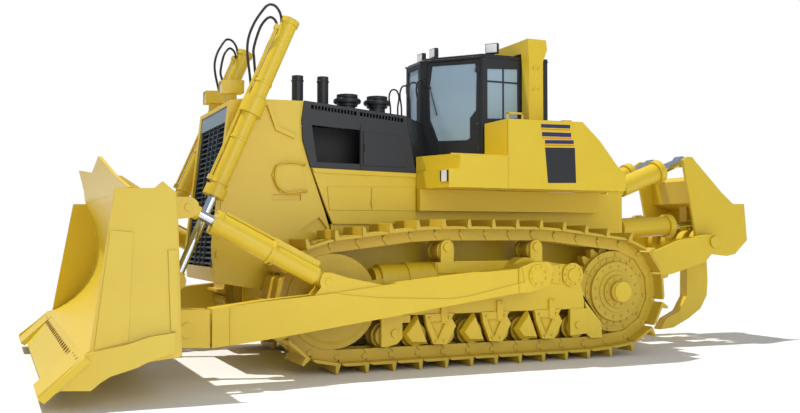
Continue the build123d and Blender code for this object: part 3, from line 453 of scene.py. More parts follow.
# ---- running gear
TOOTH = ((578, -74), (672, -30), (698, -12), (698, 12), (672, 30), (578, 74))
drive = Body()
for side in SIDES:
    drive.disc(side, GAUGE_Y - 190, GAUGE_Y + 150, SPROCKET, 590)
    for tooth in range(SPROCKET_TEETH):
        angle = 360 * tooth / SPROCKET_TEETH
        drive.plate(side, GAUGE_Y - 60, GAUGE_Y + 60, turned(TOOTH, angle, SPROCKET))
        if tooth % 2 == 0:
            at = turned(((545, 0),), angle, SPROCKET)[0]
            drive.disc(side, GAUGE_Y + 140, GAUGE_Y + 168, at, 22)
    drive.discs(side, GAUGE_Y, SPROCKET, (140, 165, 500), (160, 215, 430), (210, 232, 300),
            (230, 262, 235), (255, 315, 150))
    for y0, y1, reach, count, radius, start in (
            (160, 185, 465, 24, 17, 0), (210, 232, 365, 16, 17, 8), (258, 282, 195, 10, 15, 0)):
        drive.bolts(side, GAUGE_Y + y0, GAUGE_Y + y1, SPROCKET, reach, count, radius, start)
show("sprocket_faces", drive, PAINT_WORN_SHADED, "sprockets")

wheels = Body()
for side in SIDES:
    wheels.discs(side, GAUGE_Y, IDLER, (-190, 120, 610), (-120, 190, 470), (100, 190, 608))
    wheels.plate(side, GAUGE_Y + 188, GAUGE_Y + 206, ring(IDLER, 560), None, 0.9)
    wheels.discs(side, GAUGE_Y, IDLER, (100, 199, 330), (100, 212, 200))
show("idler_wheels", wheels, PAINT_WORN_SHADED, "idlers")

rollers = Body()
for side in SIDES:
    for x in ROLLER_XS:
        rollers.discs(side, GAUGE_Y, (x, ROLLER_Z), (-199, 199, 105), (-185, -90, ROLLER_R),
                (90, 185, ROLLER_R), (70, 90, 178), (-90, -70, 178), (185, 225, 92),
                (220, 240, 60))
    for x in CARRIER_XS:
        rollers.discs(side, GAUGE_Y, (x, CARRIER_Z), (-190, 190, 110), (-175, -95, CARRIER_R),
                (95, 175, CARRIER_R))
show("roller_set", rollers, PAINT_WORN_SHADED, "track_rollers", "carrier_rollers")

# ---- track frames
FRAME_Y0, FRAME_Y1, SKIN_Y1 = 1155, 1610, 1625
OUT_Y = 1585
BOX_SIDE = ((-1480, 700), (720, 700), (720, 1385), (382, 1400), (-636, 1400), (-1000, 1385),
    (-1480, 1300))
FORK_SIDE = ((700, 700), (1400, 700), (2440, 760), (2440, 1040), (2250, 1110), (700, 1250))
SKIN_SIDE = ((1519, 700), (1519, 820), (-400, 1150), (-1000, 1360), (-1480, 1330), (-1640, 900),
    (-1640, 700))
FRONT_BLOCK = ((1519, 302), (1519, 705), (1108, 705), (1108, 604), (1222, 604), (1222, 409),
    (1294, 334), (1435, 302))
REAR_BLOCK = ((-1393, 705), (-1393, 330), (-1681, 345), (-1690, 705))
REAR_GUARD = ((-1620, 900), (-1642, 820), (-1935, 494), (-1951, 277), (-1759, 271), (-1681, 345),
    (-1681, 705))
INNER_GUARD = ((1519, 330), (1519, 705), (-1690, 705), (-1690, 330))
SHIELD_XS = (675, -180, -1020)
SHIELD = ((225, 705), (200, 560), (100, 305), (-95, 295), (-235, 535), (-170, 640), (-215, 705))
SHIELD_POCKET = ((120, 590), (35, 375), (-70, 590))
SHIELD_POST = ((-10, 585), (-10, 850), (-105, 850), (-105, 560))
SHIELD_BOLTS = ((150, 650), (-130, 650), (60, 350), (-60, 350), (-90, 820))
POCKET_RIM, RIM_MIDDLE, RIM_SHARE = ((135, 600), (35, 362), (-85, 600)), (35, 530), 0.13
PYRAMID_XS = (1005, 150, -700)
PYRAMID = ((215, 450), (100, 315), (-180, 305), (-10, 727))
CROSSBAR, POST_Z = (-1430, 1184), 1587
RECOIL_Z = 1130
RECOIL = ((258, 700, 1100), (236, 1100, 1480), (190, 1480, 1560))
TRUNNION, TRUNNION_R = (-550, 1205), 130
ARM_Y0, ARM_Y1 = 1830, 2130


def moved(points, dx):
    """The same corners, moved along the machine."""
    return tuple((x + dx, z) for x, z in points)


def rim_inside(corner):
    """Corner of a pocket's rim, moved towards the pocket's middle."""
    return tuple(p + RIM_SHARE * (m - p) for p, m in zip(corner, RIM_MIDDLE))


for side, tag in TAGGED:
    gear = Body()
    gear.plate(side, FRAME_Y0, FRAME_Y1 - 10, BOX_SIDE)
    for radius, x0, x1 in RECOIL:
        gear.prism(YZ.offset(x0), ring((side * GAUGE_Y, RECOIL_Z), radius), x1 - x0)
    for y0, y1 in ((FRAME_Y0, FRAME_Y0 + 30), (OUT_Y, FRAME_Y1)):
        gear.plate(side, y0, y1, FORK_SIDE)
    gear.plate(side, FRAME_Y0, FRAME_Y0 + 30, INNER_GUARD)
    for x in SHIELD_XS:
        gear.plate(side, OUT_Y, SKIN_Y1 + 25, moved(SHIELD, x))
        gear.plate(side, SKIN_Y1 + 6, SKIN_Y1 + 30, moved(SHIELD_POCKET, x), CUT)
    for y1, outline in ((0, SKIN_SIDE), (15, FRONT_BLOCK), (15, REAR_BLOCK), (0, REAR_GUARD)):
        gear.plate(side, OUT_Y, SKIN_Y1 + y1, outline)
    for at in ((1330, 470), (-1530, 470)):
        gear.disc(side, SKIN_Y1 + 10, SKIN_Y1 + 40, at, 55)
    for x in SHIELD_XS:
        gear.plate(side, SKIN_Y1 - 5, SKIN_Y1 + 40, moved(SHIELD_POST, x))
        for p, q in zip(POCKET_RIM, POCKET_RIM[1:] + POCKET_RIM[:1]):
            strip = (p, q, rim_inside(q), rim_inside(p))
            gear.plate(side, SKIN_Y1 + 20, SKIN_Y1 + 42, moved(strip, x))
        for dx, z in SHIELD_BOLTS:
            gear.disc(side, SKIN_Y1, SKIN_Y1 + 48, (x + dx, z), 20)
    for x in PYRAMID_XS:
        gear.plate(side, OUT_Y, SKIN_Y1 + 40, moved(PYRAMID, x), None, 0.72)
    # round cover of the crossbar and its block
    gear.discs(side, SKIN_Y1, CROSSBAR, (-5, 40, 172), (35, 60, 90))
    gear.bolts(side, SKIN_Y1 + 35, SKIN_Y1 + 58, CROSSBAR, 135, 10, 15)
    gear.plate(side, SKIN_Y1 - 5, SKIN_Y1 + 30,
            ((-1062, 1074), (-1062, 1330), (-1246, 1330), (-1246, 1074)))
    for x in (-1090, -1218):
        for z in (1110, 1200, 1295):
            gear.disc(side, SKIN_Y1 + 25, SKIN_Y1 + 46, (x, z), 18)
    # posts of the carrier rollers
    for x in CARRIER_XS:
        gear.disc(side, 1576, FRAME_Y1, (x, POST_Z), 97)
        gear.plate(side, 1576, FRAME_Y1, box_plan(x - 97, x + 97, 1300, POST_Z))
        gear.disc(side, FRAME_Y1 - 5, FRAME_Y1 + 22, (x, POST_Z), 60)
        gear.plate(side, 1500, SKIN_Y1 - 5, box_plan(x - 160, x + 150, 1240, 1375))
        gear.plate(side, FRAME_Y0 + 5, 1195,
                ((x - 70, 1300), (x + 70, 1300), (x + 50, 1640), (x - 50, 1640)))
    gear.disc(side, FRAME_Y1 - 10, ARM_Y0 - GAP, TRUNNION, TRUNNION_R + 110)
    gear.disc(side, ARM_Y0 - GAP, 2080, TRUNNION, TRUNNION_R)
    show("track_frame_" + tag + "_form", gear, PAINT, "track_frame_" + tag)

# ---- nose
NOSE_Y, NOSE_HALF, NOSE_WALL = 855, 915, 70
NOSE_FRONT = ((3549, 1608), (3340, 3498))
NOSE_SIDE = ((2050, 2086), (1960, 1804), (2400, 1300), (2871, 1026), (3520,
    1144)) + NOSE_FRONT + ((3153, 3528), (2340, 3545), (2378, 3282), (2363, 3015), (2264, 2684))
GRILLE_LOW, GRILLE_HIGH, HEADER_HIGH = 1330, 3230, 3440
NOSE_PANEL = ((2378, 2704), (2721, 2679), (2787, 2533), (2678, 2313), (2307, 2320))
NOSE_CHANNEL = ((2929, 3514), (2809, 3495), (2700, 3176), (2469, 3083), (2475, 3030), (2735, 3130),
    (2850, 3440))
NOSE_SLOT = ((2377, 2293), (2376, 2213), (2772, 2207), (2772, 2285))
NOSE_ARCH = ((2375, 1816), (2124, 1990), (2010, 1850), (2060, 1760))
GRILLE_RIM = ((3505, 1700), (3325, 3330), (3290, 3330), (3470, 1700))
LIFT_Y, LIFT_TOP, LIFT_PIN = 1150, (2606, 4545), (4060, 1180)
LIFT_SPAN = math.dist(LIFT_TOP, LIFT_PIN)
LIFT_PIVOT_AT = 1256
LIFT_PIVOT = (LIFT_TOP[0] + (LIFT_PIN[0] - LIFT_TOP[0]) * LIFT_PIVOT_AT / LIFT_SPAN,
    LIFT_TOP[1] + (LIFT_PIN[1] - LIFT_TOP[1]) * LIFT_PIVOT_AT / LIFT_SPAN)


def grille_x(z):
    """X of the nose's front face at height z."""
    (x0, z0), (x1, z1) = NOSE_FRONT
    return x0 + (z - z0) * (x1 - x0) / (z1 - z0)


nose = Body()
nose.across(NOSE_HALF, NOSE_SIDE)
nose.across(NOSE_Y - NOSE_WALL, ((2600, GRILLE_LOW), (3700, GRILLE_LOW), (3700, HEADER_HIGH),
        (1800, HEADER_HIGH), (1800, 1900), (2600, 1900)), CUT)
for side in SIDES:
    nose.plates(side, NOSE_HALF, (-30, 1, NOSE_SLOT), (-45, 1, NOSE_ARCH), mode=CUT)
for side in SIDES:
    nose.plates(side, NOSE_HALF, (-5, 22, NOSE_PANEL), (-5, 40, NOSE_CHANNEL))
    nose.disc(side, NOSE_HALF - 5, NOSE_HALF + 60, LIFT_PIVOT, 120)
    # strip beside the grille, and its hinges
    nose.plate(side, NOSE_HALF - 5, NOSE_HALF + 14, GRILLE_RIM)
    for z in (1500, 2000, 2500, 3000):
        nose.plate(side, NOSE_HALF + 10, NOSE_HALF + 30,
                box_plan(grille_x(z) - 80, grille_x(z) - 45, z - 40, z + 40))
show("nose_form", nose, PAINT, "nose_guard")

LOUVRES, LOUVRE_EDGE = 27, 40
GRILLE_HALF = NOSE_Y - NOSE_WALL - 5
grille = Body()
for i in range(LOUVRES):
    run = GRILLE_HIGH - GRILLE_LOW - 2 * LOUVRE_EDGE
    z = GRILLE_LOW + LOUVRE_EDGE + i * run / (LOUVRES - 1)
    x = grille_x(z) - 40
    grille.across(GRILLE_HALF, ((x, z - 7), (x, z + 7), (x - 70, z + 37), (x - 70, z + 23)))
for y in (-GRILLE_HALF + 20, -260, 0, 260, GRILLE_HALF - 20):
    low, high = grille_x(GRILLE_LOW) - 28, grille_x(GRILLE_HIGH) - 28
    grille.prism(XZ.offset(-y - 12), ((low, GRILLE_LOW), (high, GRILLE_HIGH),
            (high - 80, GRILLE_HIGH), (low - 80, GRILLE_LOW)), 24)
show("grille_louvres", grille, GRILLE_PAINT, "radiator_grille")

low, high = grille_x(GRILLE_HIGH) - 12, grille_x(HEADER_HIGH) - 12
header = Body()
header.across(NOSE_Y - NOSE_WALL, ((low, GRILLE_HIGH), (high, HEADER_HIGH),
        (high - 100, HEADER_HIGH), (low - 100, GRILLE_HIGH)))
show("nose_header", header, HEADER_PAINT)

lamps, lenses = Body(), Body()
for side in SIDES:
    lamps.plate(side, 400, 590, ((3070, 3650), (3070, 3824), (3372, 3809), (3372, 3625)))
    lamps.plate(side, 415, 575, ((3350, 3640), (3350, 3797), (3380, 3797), (3380, 3640)), CUT)
    lamps.plate(side, 450, 540, ((3160, 3510), (3300, 3500), (3300, 3660), (3160, 3660)))
    lenses.plate(side, 418, 572, ((3345, 3643), (3345, 3794), (3358, 3794), (3358, 3643)))
show("nose_lamp_hoods", lamps, PAINT, "nose_lamps")
show("nose_lamp_glasses", lenses, LENS)

# ---- engine bay
HULL_Y, SIDE_Y, HOOD_T = 900, 950, 25
HOOD_SIDE = ((2339, 3545), (2377, 3282), (2362, 3015), (2250, 2655), (702, 2620), (860, 3420))
HOOD_INNER = ((2500, 3520), (2500, 2600), (600, 2600), (600, 3395), (860, 3395), (2340, 3520))
BAY_HOLE = ((2238, 3222), (1547, 3188), (1547, 2721), (2166, 2728))
HOOD_VENTS = (((2250, 3493), (1600, 3438), (1600, 3385), (2250, 3440)), ((1547, 3434), (900, 3380),
    (900, 3327), (1547, 3381)))
SLATS = 14                 # gaps between the slats of a vent
HOOD_DOOR = ((1500, 3170), (900, 3120), (850, 2700), (1500, 2700))
hood = Body()
hood.across(SIDE_Y, HOOD_SIDE)
hood.across(SIDE_Y - HOOD_T, HOOD_INNER, CUT)
hood.across(SIDE_Y + 10, BAY_HOLE, CUT)
for side in SIDES:
    for vent in HOOD_VENTS:
        hood.plate(side, SIDE_Y - HOOD_T - 1, SIDE_Y + 1, vent, CUT)
for side in SIDES:
    hood.plates(side, SIDE_Y, (-5, 14, HOOD_DOOR), (10, 34, box_plan(1490, 1462, 2900, 2990)),
            (-2, 12, box_plan(1541, 1512, 3250, 2640)))
    for (x0, z0), (x1, z1), *_ in HOOD_VENTS:
        for slat in range(1, SLATS):
            x, z = x0 + (x1 - x0) * (slat / SLATS), z0 + (z1 - z0) * (slat / SLATS)
            hood.plate(side, SIDE_Y - 26, SIDE_Y - 2, box_plan(x - 9, x + 9, z + 4, z - 60))
show("hood_form", hood, BLACK, "engine_hood")

PANEL_SIDE = ((705, 1900), (1940, 1900), (2020, 2080), (2240, 2650), (705, 2618))
panels = Body()
for side in SIDES:
    panels.plate(side, HULL_Y + 1, SIDE_Y, PANEL_SIDE)
    for y0, y1, points in (
            (-5, 14, ((2020, 2400), (1395, 2411), (1395, 2089), (1990, 2088))),
            (-5, 14, ((1375, 2411), (715, 2420), (715, 2090), (1375, 2090))),
            (-5, 20, ((2235, 2645), (706, 2612), (706, 2555), (2205, 2585))),
            (10, 30, box_plan(1360, 1388, 2150, 2235))):
        panels.plate(side, SIDE_Y + y0, SIDE_Y + y1, points)
show("engine_side_panels", panels, PAINT, "lower_panels")

HOOD_REAR, HOOD_RUN, HOOD_RISE = (860, 3420), 1480, 125
STACK_Y, STACK_R, STACKS = 300, 80, ((2235, 3985), (1860, 3995))
CLEANER_XS = (1490, 1025)
# radius, low and high end of each step above the hood
CLEANER_STEPS = ((150, 3600, 3618), (135, 3618, 3640), (185, 3640, 3652), (198, 3652, 3688),
    (185, 3688, 3700), (120, 3700, 3722), (152, 3722, 3760))


def hood_z(x):
    """Height of the hood's top at x."""
    return HOOD_REAR[1] + (x - HOOD_REAR[0]) * HOOD_RISE / HOOD_RUN


def upright(body, x, radius, z0, z1, mode=None):
    """Round piece on the hood from z0 up to z1."""
    body.prism(XY.offset(z0), ring((x, STACK_Y), radius), z1 - z0, mode)


pipes, caps = Body(), Body()
for x, top in STACKS:
    upright(pipes, x, STACK_R, hood_z(x) - 5, top)
    upright(pipes, x, STACK_R - 14, top - 200, top + 1, CUT)
for x, top in STACKS:
    upright(pipes, x, STACK_R + 9, top - 75, top - 63)
    upright(pipes, x, STACK_R + 30, hood_z(x) - 5, hood_z(x) + 45)
show("exhaust_pipes", pipes, BLACK, "exhaust_stacks")
for x in CLEANER_XS:
    for radius, z0, z1 in ((118, hood_z(x) - 5, 3600),) + CLEANER_STEPS:
        upright(caps, x, radius, z0, z1)
show("air_cleaner_caps", caps, BLACK, "air_cleaners")

# ---- fenders and tanks
DECK_Z = 2390
TANK_Y0, TANK_Y1, CAB_Y = 1090, 1740, 1010
POST_X0, POST_X1, POST_Y0, POST_Y1 = -1216, -976, 1045, 1245
FENDER_STEP, FENDER_TOP = 2642, 2848
FENDER_SIDE = ((702, DECK_Z + 1), (702, FENDER_TOP), (-322, FENDER_TOP), (-322, 3351),
    (-1554, 3366), (-1855, 3107), (-2170, 2741), (-2311, 2629), (-2302, DECK_Z + 1))
FENDER_FRONT, FENDER_SWEEP = (702, 952), 0.1455      # inner front corner, lean of the front
DECK_PLAN = (FENDER_FRONT, (180, 400), (-340, CAB_Y), (-340, TANK_Y0 + 5), (702, TANK_Y0 + 5))
TANK_TOP, HANDLE_Y, HANDLE_XS, HANDLE_R = 3345, 1600, (-400, -640), 12
for side, tag in TAGGED:
    tank = Body()
    tank.plate(side, TANK_Y0, TANK_Y1, FENDER_SIDE)
    tank.slab(DECK_Z + 1, FENDER_TOP, on_side(side, DECK_PLAN))
    for z0, x in ((DECK_Z - 10, 583), (FENDER_STEP, 410)):
        tank.slab(z0, FENDER_TOP + 1, on_side(side, (FENDER_FRONT, (760, 1770), (x, 1770))), CUT)
    tank.slab(DECK_Z + 20, 3600, box_plan(POST_X0 - 10, POST_X1 + 10, side * (TANK_Y0 - 1),
            side * (POST_Y1 + 10)), CUT)
    # seam between deck and tank, ledge, filler cap and handle
    tank.plates(side, TANK_Y1, (-5, 6, box_plan(-322, -338, DECK_Z + 10, 3340)),
            (-5, 8, ((-338, 2846), (-338, 2826), (560, 2826), (560, 2846))))
    tank.prism(XY.offset(TANK_TOP), ring((-1450, side * 1480), 85), 60)
    low, high = side * HANDLE_Y - HANDLE_R, side * HANDLE_Y + HANDLE_R
    for x in HANDLE_XS:
        tank.slab(TANK_TOP, 3455, box_plan(x - HANDLE_R, x + HANDLE_R, low, high))
    tank.slab(3440, 3464, box_plan(HANDLE_XS[1] - HANDLE_R, HANDLE_XS[0] + HANDLE_R, low, high))
    show("tank_" + tag + "_form", tank, PAINT, "tank_" + tag)


def fender_x(y):
    """X of the fender's front face."""
    return FENDER_FRONT[0] - FENDER_SWEEP * (y - FENDER_FRONT[1])


# lamp in the front of each fender, with dark ends
faces, sockets = Body(), Body()
for side in SIDES:
    for body, y0, y1, out in ((faces, 1575, 1705, 9), (sockets, 1550, 1574, 12),
            (sockets, 1706, 1728, 12)):
        body.slab(2470, 2618, on_side(side, (
            (fender_x(y0) - 20, y0), (fender_x(y0) + out, y0), (fender_x(y1) + out, y1),
            (fender_x(y1) - 20, y1))))
show("fender_lamp_faces", faces, LENS)
show("fender_lamp_sockets", sockets, BLACK)

# stripes and blank panel, from STICK_Y0 to STICK_Y1
BANDS = (((-857, 3302), (-1341, 3312), (-1341, 3262), (-857, 3252)), ((-873, 3190), (-1357, 3198),
    (-1357, 3140), (-873, 3132)), ((-921, 3080), (-1400, 3096), (-1400, 3044), (-921, 3030)))
BLANK = ((-921, 2975), (-1420, 2990), (-1437, 2491), (-967, 2479))
STICK_Y0, STICK_Y1 = TANK_Y1 - 2, TANK_Y1 + 3
bands, lines, blank = Body(), Body(), Body()
for side in SIDES:
    for band in BANDS:
        bands.plate(side, STICK_Y0, STICK_Y1, band)
        *_, (x2, z2), (x3, z3) = band
        lines.plate(side, STICK_Y0, STICK_Y1,
                ((x3, z3 - 16), (x2, z2 - 16), (x2, z2 - 30), (x3, z3 - 30)))
    blank.plate(side, STICK_Y0, STICK_Y1, BLANK)
show("tank_bands", bands, BAND_BLUE)
show("tank_lines", lines, LINE_ORANGE)
show("tank_panel", blank, BLACK)

# ---- cab
CAB_FRONT, CAB_CORNER, CAB_REAR = (305, 250), (-340, CAB_Y), -1446
CAB_WALL, CAB_FLOOR, CAB_TOP = 50, 2700, 4385
SLANT = math.hypot(CAB_FRONT[0] - CAB_CORNER[0], CAB_CORNER[1] - CAB_FRONT[1])
SLANT_X = (CAB_FRONT[0] - CAB_CORNER[0]) / SLANT
SLANT_Y = (CAB_FRONT[1] - CAB_CORNER[1]) / SLANT
DOOR_HOLE = ((45, 2874), (726, 2874), (766, 3140), (891, 3463), (906, 3912), (880, 4318),
    (45, 4318))
DOOR_GLASS = ((803, 4262), (120, 4250), (95, 4151), (107, 3568), (200, 3457), (201, 3165),
    (248, 3138), (708, 3144), (836, 3463), (852, 3912))
REAR_GLASS = ((-416, 3440), (-930, 3470), (-930, 4200), (-416, 4170))


def slant_point(along, out, side=1):
    """Plan point at a distance along the door plane and outside of it."""
    return (CAB_CORNER[0] + along * SLANT_X - out * SLANT_Y,
            side * (CAB_CORNER[1] + along * SLANT_Y + out * SLANT_X))


def on_slant(body, side, y0, y1, points, mode=None):
    """Piece parallel to the door plane from y0 to y1 outside of it."""
    x, y = slant_point(0, y0, side)
    plane = Plane((x, y, 0), (-side * SLANT_X, -SLANT_Y, 0), (-SLANT_Y, side * SLANT_X, 0))
    body.prism(plane, [(-side * along, z) for along, z in points], y1 - y0, mode)


def both(points):
    """Plan corners of the left half and their mirror images."""
    return tuple(points) + tuple((x, -y) for x, y in reversed(points))


cab = Body()
cab.slab(DECK_Z + 1, CAB_TOP, both((CAB_FRONT, CAB_CORNER, (CAB_REAR, CAB_Y))))
inner = (slant_point(SLANT - 75, -CAB_WALL), slant_point(22, -CAB_WALL),
    (CAB_REAR + CAB_WALL, CAB_Y - CAB_WALL))
cab.slab(CAB_FLOOR, CAB_TOP - CAB_WALL, both(inner), CUT)
cab.across(CAB_Y, ((240, CAB_TOP + 1), (306, 4320), (306, CAB_TOP + 1)), CUT)
cab.prism(YZ.offset(CAB_FRONT[0] - CAB_WALL - 60), box_plan(-180, 180, 3480, 4250), CAB_WALL + 70,
        CUT)
cab.prism(YZ.offset(CAB_REAR - 10), box_plan(-800, 800, 3550, 4150), CAB_WALL + 20, CUT)
for side in SIDES:
    on_slant(cab, side, -CAB_WALL - 30, 10, DOOR_HOLE, CUT)
    cab.plate(side, CAB_Y - CAB_WALL - 5, CAB_Y + 5, REAR_GLASS, CUT)
for side in SIDES:
    # glazing bars of the rear window, and the gutter
    cab.plates(side, CAB_Y, (-35, -12, box_plan(-410, -936, 3978, 4002)),
            (-35, -12, box_plan(-700, -676, 3450, 4190)),
            (-2, 16, box_plan(CAB_REAR, -345, 4330, 4352)))
    on_slant(cab, side, -2, 16, box_plan(0, SLANT, 4330, 4352))
cab.slab(CAB_TOP - 2, CAB_TOP + 26, both(((180, 190), (-380, 850), (CAB_REAR + 120, 850))))
show("cab_form", cab, BLACK, "cab_shell")

cowl = Body()
low = both(((701, SIDE_Y), (180, 400), (305, 250)))
high = both(((858, SIDE_Y), (295, 264), (305, 250)))
cowl.slab(DECK_Z + 1, 2621, low)
cowl.span([(x, y, 2620) for x, y in low], [(x, y, 3415) for x, y in high])
show("cab_cowl", cowl, BLACK)

for side, tag in TAGGED:
    leaf, pane, wiper = Body(), Body(), Body()
    on_slant(leaf, side, 5 - CAB_WALL, -4, scaled(DOOR_HOLE, (470, 3600), 0.987, 0.992))
    on_slant(leaf, side, -CAB_WALL - 9, 9, DOOR_GLASS, CUT)
    on_slant(leaf, side, -6, 22, box_plan(925, 941, 3948, 4098))
    for z in (2960, 3300, 4120):
        on_slant(leaf, side, -6, 16, box_plan(40, 110, z, z + 70))
    on_slant(pane, side, 20 - CAB_WALL, 32 - CAB_WALL, scaled(DOOR_GLASS, (480, 3700), 1.02, 1.015))
    on_slant(wiper, side, 8, 20, ((836, 3941), (828, 3945), (712, 3527), (722, 3520)))
    on_slant(wiper, side, -6, 24, box_plan(822, 848, 3925, 3960))
    show("door_leaf_" + tag, leaf, BLACK, "cab_door_" + tag, on="door_" + tag)
    show("door_pane_" + tag, pane, GLASS, "door_glass_" + tag, on="door_" + tag)
    show("wiper_" + tag, wiper, BLACK, on="door_" + tag)

fixed = Body()
for side in SIDES:
    fixed.plate(side, CAB_Y - 30, CAB_Y - 20, ((-400, 3425), (-945, 3455), (-945, 4215),
            (-400, 4185)))
fixed.prism(YZ.offset(CAB_FRONT[0] - 30), box_plan(-190, 190, 3470, 4260), 8)
fixed.prism(YZ.offset(CAB_REAR + 20), box_plan(-815, 815, 3535, 4165), 8)
show("cab_panes", fixed, GLASS)

lamp_boxes, lamp_faces = Body(), Body()
for x, y, angle in ((60, 215, 0), (60, -215, 0), (-560, 900, 40), (-560, -900, -40)):
    for body, z0, z1, plan in ((lamp_boxes, -2, 45, box_plan(-20, 20, -30, 30)),
            (lamp_boxes, 35, 180, box_plan(-32, 32, -95, 95)),
            (lamp_faces, 48, 168, box_plan(28, 38, -84, 84))):
        body.slab(CAB_TOP + z0, CAB_TOP + z1, turned(plan, angle, (x, y)))
show("roof_lamp_boxes", lamp_boxes, BLACK)
show("roof_lamp_faces", lamp_faces, LENS)

# roll-over frame
ROPS_TOP = 4612
POST_SIDE = ((POST_X0, DECK_Z + 20), (POST_X1, DECK_Z + 20), (POST_X1, 4270), (-953, ROPS_TOP),
    (-1270, ROPS_TOP), (-1287, 4471), (POST_X0, 4288))
rops = Body()
for side in SIDES:
    rops.plate(side, POST_Y0, POST_Y1, POST_SIDE)
    for x in (-1060, -1140):
        for z in (3870, 4180):
            rops.disc(side, POST_Y1 - 5, POST_Y1 + 16, (x, z), 20)
rops.across(POST_Y0 + 5, ((POST_X0 - 20, 4430), (POST_X1 + 5, 4430), (-958, ROPS_TOP - 2),
        (-1262, ROPS_TOP - 2)))
show("rops_form", rops, PAINT, "rops_frame")

# ---- push arms
ARM_PIN, ARM_PIN_R = (4100, 665), 90
ARM_SIDE = ((-285, 1325), (-488, 1389), (-725, 1387), (-788, 1319), (-739, 1077), (-439, 990),
    (-265, 983), (632, 864), (1227, 781), (1945, 683), (2776, 572), (3263, 511), (3824, 453),
    (3824, 899), (3265, 965), (2514, 1027), (1475, 1150), (775, 1219), (-267, 1307))
ARM_TONGUE = ((3780, 850), (4100, 815), (4100, 515), (3780, 500))
ARM_FIELD = ((2400, 1045), (1746, 971), (775, 932), (486, 963), (-343, 1127), (-300, 1345),
    (775, 1240), (1475, 1170))
PUSH_Y = 1980
TONGUE_HALF, TONGUE_R = 90, 150
TILT_REAR, TILT_FRONT, TILT_PIN_R = (2400, 1180), (4090, 2060), 50
TILT_CHEEK = ((2440, 1290), (2370, 1290), (2150, 1225), (1670, 1125), (1900, 1060), (2600, 1005),
    (2514, 1100))
TILT_WEB = ((2240, 1215), (2150, 1215), (1700, 1125), (1900, 1060), (2240, 1040))
for side, tag in TAGGED:
    arm = Body()
    arm.plate(side, ARM_Y0, ARM_Y1, ARM_SIDE)
    arm.plate(side, ARM_Y1 - 12, ARM_Y1 + 1, ARM_FIELD, CUT)
    arm.disc(side, ARM_Y0 - 1, 2090, TRUNNION, TRUNNION_R, CUT)
    arm.plate(side, PUSH_Y - TONGUE_HALF, PUSH_Y + TONGUE_HALF, ARM_TONGUE)
    arm.disc(side, PUSH_Y - TONGUE_HALF, PUSH_Y + TONGUE_HALF, ARM_PIN, TONGUE_R)
    for y0 in (90, -120):
        arm.plate(side, PUSH_Y + y0, PUSH_Y + y0 + 30, TILT_CHEEK)
        arm.disc(side, PUSH_Y + y0, PUSH_Y + y0 + 30, TILT_REAR, 115)
    arm.plate(side, PUSH_Y - 91, PUSH_Y + 91, TILT_WEB)
    arm.disc(side, PUSH_Y - 128, PUSH_Y + 128, TILT_REAR, TILT_PIN_R)
    # trunnion cap with its bolts, and the weld seams of the shoulder
    arm.disc(side, ARM_Y1 - 5, ARM_Y1 + 22, TRUNNION, 150)
    arm.bolts(side, ARM_Y1 + 15, ARM_Y1 + 40, TRUNNION, 115, 8, 17, 20)
    arm.plates(side, ARM_Y1, (-5, 8, box_plan(-268, -250, 1300, 990)),
            (-5, 8, ((3600, 920), (3620, 918), (3620, 482), (3600, 484))))
    show("push_arm_" + tag + "_form", arm, PAINT, "push_arm_" + tag, on="push_arms")

# ---- blade
BLADE_LOW_Y, BLADE_TOP_Y, BLADE_LOW_Z, BLADE_TOP_Z = 2943, 2615, 536, 2238
MOLD_X = 4310
PLATE_SIDE = ((5240, 536), (4966, 2238), (4560, 2245), (4470, 2320), (4330, 2200), (4330, 480),
    (4700, 440), (5100, 380), (5240, 490))
PANEL_FRONT = ((5020, 1794), (4787, 1774), (4856, 655), (5190, 592))
PANEL_REAR = ((4436, 1585), (4345, 1585), (4345, 745), (4429, 745))
EDGE_SIDE = ((5630, 160), (5290, 545), (5245, 505), (5585, 120))
BIT_SIDE = ((5717, 193), (5690, 141), (5510, 225), (5230, 206), (5136, 279), (5041, 333),
    (4799, 398), (4651, 461), (4400, 529), (4392, 734), (4653, 704), (4879, 634), (5044, 602),
    (5281, 554))


def lean_y(z):
    """|Y| of the end plates' outer face at height z."""
    rise = BLADE_TOP_Z - BLADE_LOW_Z
    return BLADE_LOW_Y + (z - BLADE_LOW_Z) * (BLADE_TOP_Y - BLADE_LOW_Y) / rise


def leaning(body, side, inner, outer, points):
    """Piece with a side outline between planes that lean with the blade's ends."""
    body.span(*([(x, side * (lean_y(z) + out), z) for x, z in points] for out in (inner, outer)))


def curve(p, q, r, steps=14):
    """Points on the arc through three points."""
    (ax, ay), (bx, by), (cx, cy) = p, q, r
    d = 2 * (ax * (by - cy) + bx * (cy - ay) + cx * (ay - by))
    a, b, c = ax * ax + ay * ay, bx * bx + by * by, cx * cx + cy * cy
    middle = ((a * (by - cy) + b * (cy - ay) + c * (ay - by)) / d,
            (a * (cx - bx) + b * (ax - cx) + c * (bx - ax)) / d)
    a0, a1 = (math.atan2(t[1] - middle[1], t[0] - middle[0]) for t in (p, r))
    if abs(a1 - a0) > math.pi:
        a1 += math.tau if a1 < a0 else -math.tau
    return on_arc(middle, math.dist(middle, p), a0, a1, steps)


